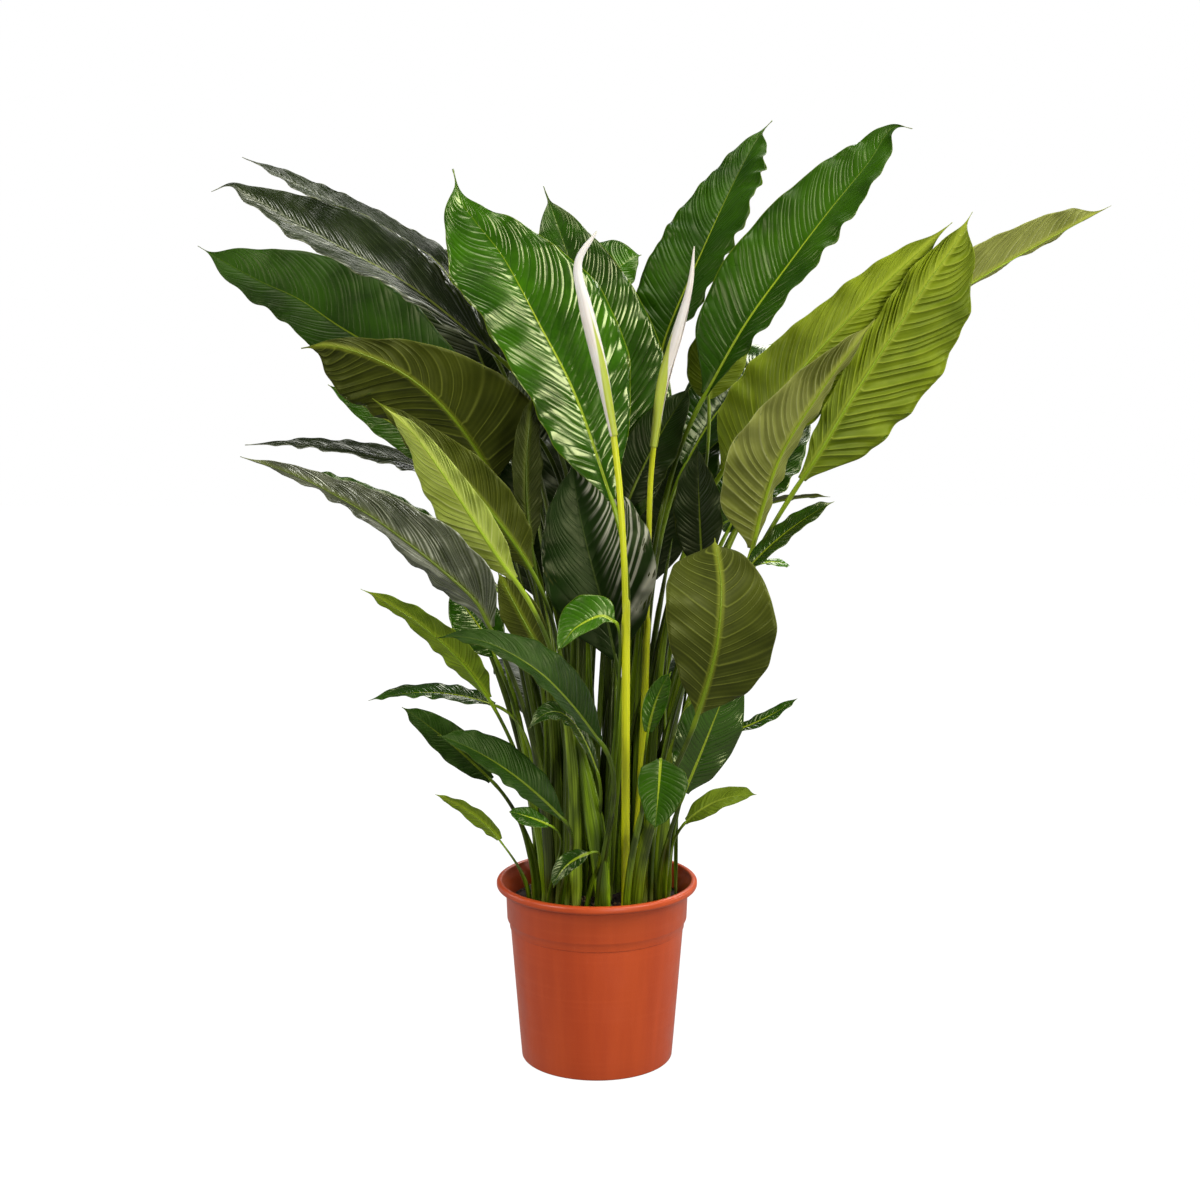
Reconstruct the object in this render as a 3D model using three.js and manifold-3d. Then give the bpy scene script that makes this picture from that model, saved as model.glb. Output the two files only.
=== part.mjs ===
// A peace lily in a round plastic nursery pot.
// Millimetres, +Z up, +X to the right and the front of the plant towards -Y.
// The origin is the middle of the pot's base.
import * as THREE from "three";
import { mergeVertices } from "three/addons/utils/BufferGeometryUtils.js";
import Module from "manifold-3d";

const wasm = await Module();
wasm.setup();

// ---- Driving dimensions of the pot and its soil ----

const POT_HEIGHT = 220;
const RIM_RADIUS = 120;
const LIP_WIDTH = 7.5;
const LIP_HEIGHT = 10;
const COLLAR_TOP_RADIUS = 109;
const COLLAR_FOOT_RADIUS = 107.6;
const STEP_TOP = 168;
const STEP_FOOT = 159;
const WALL_TOP_RADIUS = 103.3;
const BASE_RADIUS = 90.8;
const BASE_ROUND = 2.5;
const WALL = 2.4;
const FLOOR = 3;
const ROUND_SEGMENTS = 36;
const NOTCH_ANGLES = [-29, -156, 90];
const NOTCH_WIDTH = 34;
const NOTCH_HEIGHT = 12;
const DRAIN_RING_RADIUS = 56;
const DRAIN_RADIUS = 6;
const DRAIN_COUNT = 6;

const CLEARANCE = 0.3;
const SOIL_TOP = 195;
const SOIL_EDGE_DROP = 4;
const SOIL_EDGE_WIDTH = 9;
const ROOT_DEPTH = 8;

// ---- Driving dimensions of the leaves and flowers ----

const BLADE_STATIONS = [0.05, 0.13, 0.25, 0.4, 0.56, 0.72, 0.87, 1];
const BLADE_WIDEST = 0.39;
const BASE_TAPER = 0.8;
const TIP_TAPER = 1.25;
const TIP_HALF_WIDTH = 0.8;
const BLADE_THICKNESS = 0.9;
const RIB_HEIGHT = 1.6;
const PETIOLE_STATIONS = 6;
const PETIOLE_RISE = 0.4;
const PETIOLE_BEND = 0.28;
const FOOT_SWELL = 1.45;

const STALK_SIDES = 8;
const STALK_STATIONS = 9;
const CORNER_REACH = 1 / Math.cos(Math.PI / STALK_SIDES);
const SPATHE_WALL = 1;
const SPATHE_ROLL = 310;
const SPATHE_ARC_POINTS = 8;
const SPADIX_LENGTH = 70;

// Each leaf: its name, where it leaves the soil [x, y], then the foot, middle and tip of its
// blade's midrib, the blade's full width, the way its upper side faces, the angle that each
// half is folded up, the radius of its petiole, and how straight the petiole runs into the
// midrib, where it isn't PETIOLE_BEND.
const LEAVES = [
  ["front_main", [12, -45], [17, -70, 682], [-64, -42, 877], [-163, 0, 1052], 165, [0.3, -1, 0.1], 14, 3.2],
  ["centre_back", [22, 28], [45, 40, 648], [0, 65, 843], [-65, 165, 1040], 150, [0.2, -1, 0.2], 15, 3],
  ["centre_tip", [5, 45], [-45, 170, 858], [8, 190, 926], [55, 210, 958], 70, [-0.3, -1, 0.5], 15, 2.5],
  ["crown_right", [36, 42], [76, 100, 796], [132, 175, 969], [221, 280, 1126], 120, [-0.68, -1, 0.26], 25, 3.2],
  ["high_right", [50, 15], [127, 40, 794], [228, 78, 948], [378, 140, 1106], 125, [-0.53, -1, 0.37], 25, 3.2],
  ["inner_right", [50, 50], [135, 110, 785], [150, 130, 845], [200, 150, 920], 70, [0.3, 1, 0.4], 20, 2.5],
  ["right_olive", [60, -4], [145, -20, 710], [245, -60, 845], [390, -90, 990], 130, [0.3, 1, 0.2], 20, 3.2],
  ["far_right", [70, 4], [320, 40, 845], [435, 70, 920], [615, 120, 1015], 110, [-0.3, 1, 0.6], 15, 3.2],
  ["right_bright", [72, -18], [233, -50, 703], [325, -87, 862], [410, -100, 1001], 140, [-0.2, 1, 0.2], 8, 3.2],
  ["right_fold", [55, -42], [174, -100, 631], [225, -148, 778], [295, -182, 887], 110, [-0.5, 1, 0.3], 20, 3.2],
  ["right_dark", [62, -60], [165, -130, 610], [208, -145, 655], [258, -160, 690], 40, [-0.5, -0.5, 0.8], 15, 2.3],
  ["right_thin", [88, 32], [160, 60, 645], [216, 68, 665], [280, 75, 670], 40, [0, 0.3, 1], 15, 2],
  ["front_round", [46, -70], [110, -185, 459], [130, -212, 570], [126, -192, 658], 120, [0, 1, 0.15], 4, 3.2],
  ["centre_dark", [14, -12], [22, -30, 492], [-5, -12, 600], [-30, 0, 722], 130, [0, -1, 0.25], 12, 3],
  ["stalk_leaf", [10, -62], [20, -112, 550], [-10, -120, 556], [-45, -128, 518], 45, [0, -1, 0.4], 10, 2, 0.06],
  ["left_cross", [2, -83], [4, -150, 421], [-62, -178, 505], [-173, -200, 547], 70, [0.3, -0.8, 0.8], 15, 3],
  ["left_low_fold", [-62, -25], [-125, -60, 452], [-182, -83, 527], [-264, -108, 586], 56, [0.4, 0.8, 0.5], 15, 2.5],
  ["left_flat", [-75, -10], [-120, -20, 435], [-195, -10, 448], [-270, 0, 436], 45, [0, -0.25, 1], 15, 2.2],
  ["left_low", [-70, -40], [-122, -70, 357], [-172, -84, 408], [-221, -98, 449], 45, [0.3, -1, 0.5], 12, 2.5],
  ["left_front_low", [-42, -75], [-39, -140, 331], [-106, -168, 398], [-173, -198, 439], 60, [0.3, -0.8, 0.8], 12, 2.5],
  ["pot_leaf", [-12, -70], [-8, -128, 287], [-35, -137, 274], [-49, -138, 249], 26, [-0.3, -1, 0.6], 8, 1.8],
  ["hanging_leaf", [34, -84], [70, -190, 410], [67, -212, 380], [63, -225, 340], 52, [0, -1, 0.3], 10, 1.8, 0.05],
  ["right_low_dark", [76, -46], [100, -100, 350], [130, -110, 430], [160, -120, 515], 72, [0.2, -1, 0.3], 12, 2.5],
  ["right_low_thin", [85, -8], [162, -30, 407], [198, -32, 423], [234, -30, 445], 22, [-0.2, -0.4, 1], 12, 2],
  ["right_low", [80, -34], [104, -60, 305], [140, -78, 335], [183, -90, 345], 34, [-0.3, -0.6, 0.8], 10, 2],
  ["centre_arch", [-10, -54], [0, -115, 380], [-36, -142, 450], [-76, -152, 435], 35, [0.2, -0.5, 0.9], 15, 2],
  ["left_under", [-46, -24], [-118, 0, 698], [-205, -55, 812], [-326, -98, 853], 130, [0.2, 1, 0.2], 15, 3.2],
  ["left_behind", [-55, 10], [-149, 20, 708], [-235, 20, 760], [-313, 20, 807], 60, [0.2, -1, 0.4], 10, 2.6],
  ["left_narrow", [-60, 25], [-145, 60, 670], [-265, 80, 720], [-425, 100, 730], 70, [0.1, -0.3, 1], 20, 2.6],
  ["left_long", [-54, -54], [-117, -150, 549], [-212, -178, 652], [-375, -220, 744], 105, [0.35, 1, 0.5], 20, 3],
  ["left_bright", [-62, -12], [-115, -40, 575], [-230, -30, 665], [-345, -20, 710], 60, [0.2, -0.5, 0.9], 15, 2.6],
  ["front_left", [-24, -72], [-90, -160, 605], [-160, -190, 710], [-225, -200, 795], 100, [0.1, 1, 0.2], 15, 3],
  ["left_olive", [-34, -34], [-75, -80, 605], [-145, -110, 705], [-245, -130, 800], 90, [-0.1, 1, 0.4], 20, 2.8],
  ["edge_leaf", [-22, -10], [-75, -52, 628], [-80, -60, 712], [-71, -55, 803], 50, [-0.5, 1, 0], 12, 2.6],
  ["far_left", [-40, 20], [-127, 60, 787], [-298, 72, 869], [-473, 90, 967], 130, [0.1, -1, 0.5], 12, 3.2],
  ["high_left", [-28, 10], [-114, 15, 839], [-265, 2, 948], [-436, -12, 1026], 105, [0.2, -0.7, 0.6], 25, 3.2],
  ["high_left_back", [-25, 40], [-141, 120, 868], [-270, 140, 995], [-430, 162, 1074], 65, [0, -0.4, 0.9], 25, 3],
  ["left_shade", [-45, 45], [-125, 160, 780], [-180, 220, 900], [-255, 300, 985], 100, [0.2, -1, 0.5], 15, 3],
  ["inner_dark", [27, 62], [34, 17, 663], [68, 27, 737], [112, 47, 805], 66, [-0.3, -1, 0.5], 20, 2.6],
  ["inner_fold", [50, 34], [121, -50, 601], [117, -45, 673], [115, -39, 742], 66, [-0.6, -0.8, 0], 15, 2.4],
  ["left_inner_pale", [-34, -54], [-62, -85, 508], [-88, -85, 556], [-112, -75, 600], 44, [0.1, 1, 0.3], 12, 2.4],
  ["left_inner_green", [-70, 15], [-120, 0, 490], [-145, 0, 535], [-175, 10, 565], 60, [0.2, -1, 0.5], 12, 2.4],
  ["left_edge_dark", [-66, 35], [-140, 40, 520], [-172, 40, 580], [-212, 40, 640], 36, [0.5, -0.2, 0.8], 15, 2],
  ["back_crown", [15, 65], [20, 190, 760], [30, 290, 850], [30, 420, 880], 140, [0, -0.5, 1], 15, 3.2],
  ["back_high_right", [55, 62], [110, 170, 700], [190, 270, 800], [290, 370, 850], 135, [-0.3, -0.4, 1], 15, 3.2],
  ["back_high_left", [-40, 65], [-90, 180, 690], [-170, 280, 780], [-270, 370, 820], 130, [0.3, -0.4, 1], 15, 3.2],
  ["back_right", [35, 75], [70, 140, 560], [100, 230, 690], [140, 330, 770], 120, [-0.2, -0.6, 1], 15, 3],
  ["back_left", [-20, 76], [-76, 179, 534], [-96, 249, 697], [-126, 359, 818], 150, [0.2, -0.6, 1], 15, 3],
  ["back_low_right", [50, 76], [60, 130, 390], [100, 220, 450], [140, 320, 440], 90, [-0.1, -0.3, 1], 12, 2.6],
  ["back_low_left", [-55, 75], [-60, 120, 370], [-90, 200, 430], [-130, 290, 430], 85, [0.1, -0.3, 1], 12, 2.6],
  ["back_centre", [-5, 80], [-10, 150, 560], [-15, 230, 690], [-20, 330, 770], 125, [0, -0.6, 1], 15, 3],
  ["back_side_right", [71, 48], [160, 131, 620], [215, 211, 700], [275, 301, 770], 100, [-0.3, -0.6, 0.9], 15, 3],
];

// Each flower: its name, the route of its stalk from the soil, the route of its rolled spathe
// from the stalk's top to the tip, the radii of the stalk below and above its sheath, the height
// of the sheath's end, and the widest radius of the rolled spathe.
const FLOWERS = [
  {
    name: "flower_front",
    stalk: [[33, -75, 195], [33, -90, 400], [32, -105, 575], [26, -110, 690], [18, -110, 765]],
    spathe: [[18, -110, 765], [4, -110, 835], [-12, -110, 900], [-20, -108, 945], [0, -105, 980]],
    sheathEnd: 560,
    lowRadius: 4.8,
    highRadius: 3.6,
    spatheRadius: 8.5,
  },
  {
    name: "flower_right",
    stalk: [[42, -18, 195], [55, -2, 400], [60, 4, 600], [62, -5, 690], [66, -15, 745]],
    spathe: [[66, -15, 745], [75, -20, 810], [92, -25, 870], [105, -30, 920], [110, -30, 965]],
    sheathEnd: 520,
    lowRadius: 4.2,
    highRadius: 3.2,
    spatheRadius: 7.2,
  },
];

// ---- Materials ----

function material(colour, roughness) {
  return new THREE.MeshStandardMaterial({ color: colour, roughness, metalness: 0 });
}

const LEAF_GREEN = material(0x2f5c14, 0.35);
const STALK_GREEN = material(0x9aa524, 0.45);
const SPATHE_WHITE = material(0xebdccd, 0.55);
const SPADIX_CREAM = material(0xd9cf9a, 0.7);
const POT_TERRACOTTA = material(0xb04820, 0.45);
const SOIL_BROWN = material(0x2c1c12, 0.95);

// ---- Helpers ----

const vector = (p) => new THREE.Vector3(...p);
const radians = THREE.MathUtils.degToRad;

function solid(geometry) {
  const bare = geometry.index ? geometry.toNonIndexed() : geometry.clone();
  bare.deleteAttribute("normal");
  bare.deleteAttribute("uv");
  const merged = mergeVertices(bare, 1e-4);
  return new wasm.Manifold(
    new wasm.Mesh({
      numProp: 3,
      vertProperties: merged.attributes.position.array,
      triVerts: new Uint32Array(merged.index.array),
    }),
  );
}

function geometryOf(manifold) {
  const { vertProperties, triVerts } = manifold.getMesh();
  const geometry = new THREE.BufferGeometry();
  geometry.setAttribute("position", new THREE.BufferAttribute(vertProperties, 3));
  geometry.setIndex(new THREE.BufferAttribute(triVerts, 1));
  geometry.computeVertexNormals();
  return geometry;
}

// A closed skin over rings of points, which run from the side round by the upper face. The
// squares that start at the crossed points of a ring are cut along their other diagonal.
function loft(rings, crossed = []) {
  const count = rings[0].length;
  const points = rings.flat();
  const triangles = [];
  for (let ring = 0; ring + 1 < rings.length; ring++) {
    for (let k = 0; k < count; k++) {
      const a = ring * count + k;
      const b = ring * count + ((k + 1) % count);
      if (crossed.includes(k)) triangles.push(a, a + count, b + count, a, b + count, b);
      else triangles.push(a, a + count, b, b, a + count, b + count);
    }
  }
  const last = (rings.length - 1) * count;
  for (const [p, q, r] of THREE.ShapeUtils.triangulateShape(flatRing(rings[0]), [])) {
    triangles.push(p, q, r);
  }
  for (const [p, q, r] of THREE.ShapeUtils.triangulateShape(flatRing(rings.at(-1)), [])) {
    triangles.push(last + p, last + r, last + q);
  }
  const geometry = new THREE.BufferGeometry().setFromPoints(points);
  geometry.setIndex(triangles);
  geometry.computeVertexNormals();
  return geometry;
}

// A ring's points in its own plane, for the triangles of an end cap.
function flatRing(ring) {
  const centre = ring.reduce((sum, p) => sum.add(p), new THREE.Vector3()).divideScalar(ring.length);
  const normal = new THREE.Vector3();
  ring.forEach((p, k) => {
    const q = ring[(k + 1) % ring.length];
    normal.add(p.clone().sub(centre).cross(q.clone().sub(centre)));
  });
  normal.normalize();
  const u = ring[0].clone().sub(centre).projectOnPlane(normal).normalize();
  const v = normal.clone().cross(u);
  return ring.map((p) => {
    const offset = p.clone().sub(centre);
    return new THREE.Vector2(offset.dot(u), offset.dot(v));
  });
}

// A frame on a curve: its point, its tangent, the upper side and the right-hand side.
function frame(point, tangent, upper) {
  const up = upper.clone().projectOnPlane(tangent).normalize();
  const side = tangent.clone().cross(up);
  return { point, tangent, up, side };
}

function offset(f, side, up) {
  return f.point.clone().addScaledVector(f.side, side).addScaledVector(f.up, up);
}

// Frames along a curve that turn no more than the curve does, back from a given last one.
function framesBackFrom(curve, parameters, upper) {
  const frames = [];
  let up = upper;
  for (const t of [...parameters].reverse()) {
    const f = frame(curve.getPoint(t), curve.getTangent(t), up);
    up = f.up;
    frames.unshift(f);
  }
  return frames;
}

function steps(count) {
  return Array.from({ length: count + 1 }, (_, k) => k / count);
}

function roundRing(f, radius, sides, firstAngle) {
  return Array.from({ length: sides }, (_, k) => {
    const angle = radians(firstAngle + (360 * k) / sides);
    return offset(f, radius * Math.cos(angle), radius * Math.sin(angle));
  });
}

// ---- Leaves ----

// The half width of a blade, as a share of its widest, from its foot (0) to its tip (1).
function bladeShape(t) {
  const shape = (s) => s ** BASE_TAPER * (1 - s) ** TIP_TAPER;
  return shape(t) / shape(BLADE_WIDEST);
}

function bladeRing(f, halfWidth, fold, rib) {
  const across = radians(fold);
  const thick = BLADE_THICKNESS / 2;
  const edge = (side, face) => {
    const reach = side * (halfWidth * Math.cos(across) - face * thick * Math.sin(across));
    return offset(f, reach, halfWidth * Math.sin(across) + face * thick * Math.cos(across));
  };
  return [edge(1, -1), edge(1, 1), offset(f, 0, thick), edge(-1, 1), edge(-1, -1), offset(f, 0, -rib)];
}

function petioleCurve(soilSpot, foot, heading, straight) {
  const start = new THREE.Vector3(soilSpot[0], soilSpot[1], SOIL_TOP);
  const length = start.distanceTo(foot);
  const rise = start.clone().add(new THREE.Vector3(0, 0, length * PETIOLE_RISE));
  const bend = foot.clone().addScaledVector(heading, -length * straight);
  return new THREE.CubicBezierCurve3(start, rise, bend, foot);
}

// The hexagonal foot of a petiole, straight down from the soil's top.
function rootRings(ring, depth, height) {
  const shifted = (dz) => ring.map((p) => p.clone().add(new THREE.Vector3(0, 0, dz)));
  return [shifted(-depth), shifted(height)];
}

function makeLeaf(row) {
  const [name, soilSpot, footPoint, middlePoint, tipPoint, width, face, fold, radius] = row;
  const straight = row[9] ?? PETIOLE_BEND;
  const foot = vector(footPoint);
  const tip = vector(tipPoint);
  const control = vector(middlePoint).multiplyScalar(2).addScaledVector(foot.clone().add(tip), -0.5);
  const midrib = new THREE.QuadraticBezierCurve3(foot, control, tip);
  const heading = midrib.getTangent(0);
  const upper = vector(face);
  const petiole = petioleCurve(soilSpot, foot, heading, straight);
  const parameters = steps(PETIOLE_STATIONS);
  const frames = framesBackFrom(petiole, parameters, frame(foot, heading, upper).up);
  const rings = frames.map((f, k) => {
    const swell = THREE.MathUtils.lerp(FOOT_SWELL, 0.8, parameters[k]);
    return roundRing(f, radius * swell, 6, -30);
  });
  const socketRing = roundRing(frames[0], radius * FOOT_SWELL + 1.2 * CLEARANCE, 6, -30);
  rings.unshift(rootRings(rings[0], ROOT_DEPTH, 0)[0]);
  for (const t of BLADE_STATIONS) {
    const f = frame(midrib.getPoint(t), midrib.getTangent(t), upper);
    const halfWidth = Math.max((width / 2) * bladeShape(t), TIP_HALF_WIDTH);
    const rib = THREE.MathUtils.lerp(RIB_HEIGHT, BLADE_THICKNESS, t);
    rings.push(bladeRing(f, halfWidth, fold, rib));
  }
  const mesh = new THREE.Mesh(loft(rings, [2, 5]), LEAF_GREEN);
  mesh.name = "leaf_" + name;
  return { mesh, socket: loft(rootRings(socketRing, ROOT_DEPTH + CLEARANCE, 5)) };
}

// ---- Flowers ----

function makeStalk({ name, stalk, sheathEnd, lowRadius, highRadius }) {
  const curve = new THREE.CatmullRomCurve3(stalk.map(vector));
  const parameters = steps(STALK_STATIONS);
  const frames = framesBackFrom(curve, parameters, new THREE.Vector3(0, -1, 0));
  frames[0] = frame(frames[0].point, new THREE.Vector3(0, 0, 1), frames[0].up);
  const rings = frames.map((f) => {
    const radius = f.point.z < sheathEnd ? lowRadius : highRadius;
    return roundRing(f, radius, STALK_SIDES, 0);
  });
  const socketRing = roundRing(frames[0], lowRadius + 1.2 * CLEARANCE, STALK_SIDES, 0);
  rings.unshift(rootRings(rings[0], ROOT_DEPTH, 0)[0]);
  const mesh = new THREE.Mesh(loft(rings), STALK_GREEN);
  mesh.name = name + "_stalk";
  return { mesh, socket: loft(rootRings(socketRing, ROOT_DEPTH + CLEARANCE, 5)) };
}

// The outer radius of the rolled spathe, from its foot round the stalk (0) to its tip (1).
function spatheRadius(t, flower) {
  const foot = flower.highRadius * CORNER_REACH + 1.7 * CLEARANCE + SPATHE_WALL;
  const swelling = (flower.spatheRadius - 0.6 * foot) * Math.sin(Math.PI * t ** 0.7);
  return Math.max(foot * (1 - t) + swelling, SPATHE_WALL + 0.6);
}

function makeSpathe(flower) {
  const curve = new THREE.CatmullRomCurve3(flower.spathe.map(vector));
  const lap = new THREE.CatmullRomCurve3(flower.stalk.map(vector)).getTangent(1);
  const parameters = steps(8);
  const frames = framesBackFrom(curve, parameters, new THREE.Vector3(0.4, -1, 0));
  const first = frames[0];
  frames[0] = frame(first.point.clone().addScaledVector(lap, -6), lap, first.up);
  const rings = frames.map((f, k) => {
    const outer = spatheRadius(parameters[k], flower);
    const arc = Array.from({ length: SPATHE_ARC_POINTS }, (_, j) => {
      const share = j / (SPATHE_ARC_POINTS - 1);
      return radians(90 + (360 - SPATHE_ROLL) / 2 + share * SPATHE_ROLL);
    });
    const at = (radius) => (angle) => offset(f, radius * Math.cos(angle), radius * Math.sin(angle));
    return [...arc.map(at(outer)), ...arc.reverse().map(at(outer - SPATHE_WALL))];
  });
  const mesh = new THREE.Mesh(loft(rings), SPATHE_WHITE);
  mesh.name = flower.name + "_spathe";
  return mesh;
}

function makeSpadix(flower) {
  const curve = new THREE.CatmullRomCurve3(flower.spathe.map(vector));
  const start = (2 * CLEARANCE) / curve.getLength();
  const end = SPADIX_LENGTH / curve.getLength();
  const shares = [0, 0.15, 0.5, 0.85, 1];
  const radii = [0.75, 1, 1, 0.8, 0.35];
  const parameters = shares.map((share) => THREE.MathUtils.lerp(start, end, share));
  const frames = framesBackFrom(curve, parameters, new THREE.Vector3(0, -1, 0));
  const rings = frames.map((f, k) => roundRing(f, flower.highRadius * radii[k], STALK_SIDES, 0));
  const mesh = new THREE.Mesh(loft(rings), SPADIX_CREAM);
  mesh.name = flower.name + "_spadix";
  return mesh;
}

// ---- Pot and soil ----

function turned(profile) {
  const points = profile.map(([radius, z]) => new THREE.Vector2(radius, z));
  return new THREE.LatheGeometry(points, ROUND_SEGMENTS).rotateX(Math.PI / 2);
}

// The inside of the pot's wall, from its floor up to the foot of the lip.
function innerWall(gap) {
  return [
    [BASE_RADIUS - WALL - gap, FLOOR + gap],
    [WALL_TOP_RADIUS - WALL - gap, STEP_FOOT + gap],
    [COLLAR_FOOT_RADIUS - WALL - gap, STEP_TOP + gap],
  ];
}

function makePot() {
  const lipFoot = POT_HEIGHT - LIP_HEIGHT;
  const lipInner = RIM_RADIUS - LIP_WIDTH;
  const profile = [
    [0, 0],
    [BASE_RADIUS - BASE_ROUND, 0],
    [BASE_RADIUS, BASE_ROUND],
    [WALL_TOP_RADIUS, STEP_FOOT],
    [COLLAR_FOOT_RADIUS, STEP_TOP],
    [COLLAR_TOP_RADIUS, lipFoot],
    [RIM_RADIUS - 1.5, lipFoot],
    [RIM_RADIUS, lipFoot + 2],
    [RIM_RADIUS, POT_HEIGHT - 3],
    [RIM_RADIUS - 2.5, POT_HEIGHT],
    [lipInner + 2, POT_HEIGHT],
    [lipInner, POT_HEIGHT - 2],
    [COLLAR_TOP_RADIUS - WALL, lipFoot - 3],
    ...innerWall(0).reverse(),
    [0, FLOOR],
  ];
  let pot = solid(turned(profile));
  for (const angle of NOTCH_ANGLES) {
    const notch = new THREE.BoxGeometry(24, NOTCH_WIDTH, 2 * NOTCH_HEIGHT);
    notch.translate(BASE_RADIUS + 2, 0, 0).rotateZ(radians(angle));
    pot = pot.subtract(solid(notch));
  }
  for (let k = 0; k < DRAIN_COUNT; k++) {
    const drain = new THREE.CylinderGeometry(DRAIN_RADIUS, DRAIN_RADIUS, 4 * FLOOR, 12);
    drain.rotateX(Math.PI / 2).translate(DRAIN_RING_RADIUS, 0, 0);
    pot = pot.subtract(solid(drain.rotateZ(radians((360 * k) / DRAIN_COUNT))));
  }
  const mesh = new THREE.Mesh(geometryOf(pot), POT_TERRACOTTA);
  mesh.name = "pot";
  return mesh;
}

function makeSoil(sockets) {
  const wall = innerWall(CLEARANCE);
  const edgeRadius = COLLAR_FOOT_RADIUS - WALL - CLEARANCE;
  const profile = [
    [0, FLOOR + CLEARANCE],
    ...wall,
    [edgeRadius, SOIL_TOP - SOIL_EDGE_DROP],
    [edgeRadius - SOIL_EDGE_WIDTH, SOIL_TOP],
    [0, SOIL_TOP],
  ];
  let soil = solid(turned(profile));
  for (const socket of sockets) soil = soil.subtract(solid(socket));
  const mesh = new THREE.Mesh(geometryOf(soil), SOIL_BROWN);
  mesh.name = "potting_soil";
  return mesh;
}

// ---- Assembly ----

const plant = new THREE.Group();
const leaves = LEAVES.map(makeLeaf);
const stalks = FLOWERS.map(makeStalk);
const growing = [...leaves, ...stalks];
plant.add(...growing.map((piece) => piece.mesh));
plant.add(...FLOWERS.map(makeSpathe), ...FLOWERS.map(makeSpadix));

const pottedPlant = new THREE.Group();
pottedPlant.add(makePot(), makeSoil(growing.map((piece) => piece.socket)), plant);

export default pottedPlant;
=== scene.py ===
"""The looks of a potted peace lily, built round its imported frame.

Places and sizes in the tables are millimetres in the frame's own axes: +Z up, -Y to the front.
Blender's objects are in metres, so every mesh is scaled by MM when it is made.
"""

import math

import bpy
import numpy as np
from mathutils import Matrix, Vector, noise


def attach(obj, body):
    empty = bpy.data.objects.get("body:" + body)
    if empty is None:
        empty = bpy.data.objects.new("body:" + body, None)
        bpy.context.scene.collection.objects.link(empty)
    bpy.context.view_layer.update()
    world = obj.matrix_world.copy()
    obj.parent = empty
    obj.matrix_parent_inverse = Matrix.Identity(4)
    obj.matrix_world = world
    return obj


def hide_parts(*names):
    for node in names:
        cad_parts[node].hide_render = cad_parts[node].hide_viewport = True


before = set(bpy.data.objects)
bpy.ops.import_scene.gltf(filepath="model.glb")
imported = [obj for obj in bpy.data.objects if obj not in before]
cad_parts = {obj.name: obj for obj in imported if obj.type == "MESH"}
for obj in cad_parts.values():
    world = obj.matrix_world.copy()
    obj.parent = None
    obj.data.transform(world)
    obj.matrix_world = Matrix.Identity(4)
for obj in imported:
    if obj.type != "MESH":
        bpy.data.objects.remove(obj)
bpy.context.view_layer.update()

MM = 0.001

# ---------------------------------------------------------------- driving sizes, mm

SOIL_TOP = 195
POT_HEIGHT = 220
RIM_RADIUS = 120
LIP_WIDTH = 7.5
LIP_HEIGHT = 10
COLLAR_TOP_RADIUS = 109
COLLAR_FOOT_RADIUS = 107.6
STEP_TOP = 168
STEP_FOOT = 159
WALL_TOP_RADIUS = 103.3
BASE_RADIUS = 90.8
WALL = 2.4
FLOOR = 3
NOTCH_ANGLES = (-29, -156, 90)
NOTCH_WIDTH = 34
NOTCH_HEIGHT = 12
NOTCH_CORNER = 2.5
DRAIN_RING_RADIUS = 56
DRAIN_RADIUS = 6
DRAIN_COUNT = 6
SOIL_GAP = 0.3

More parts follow.
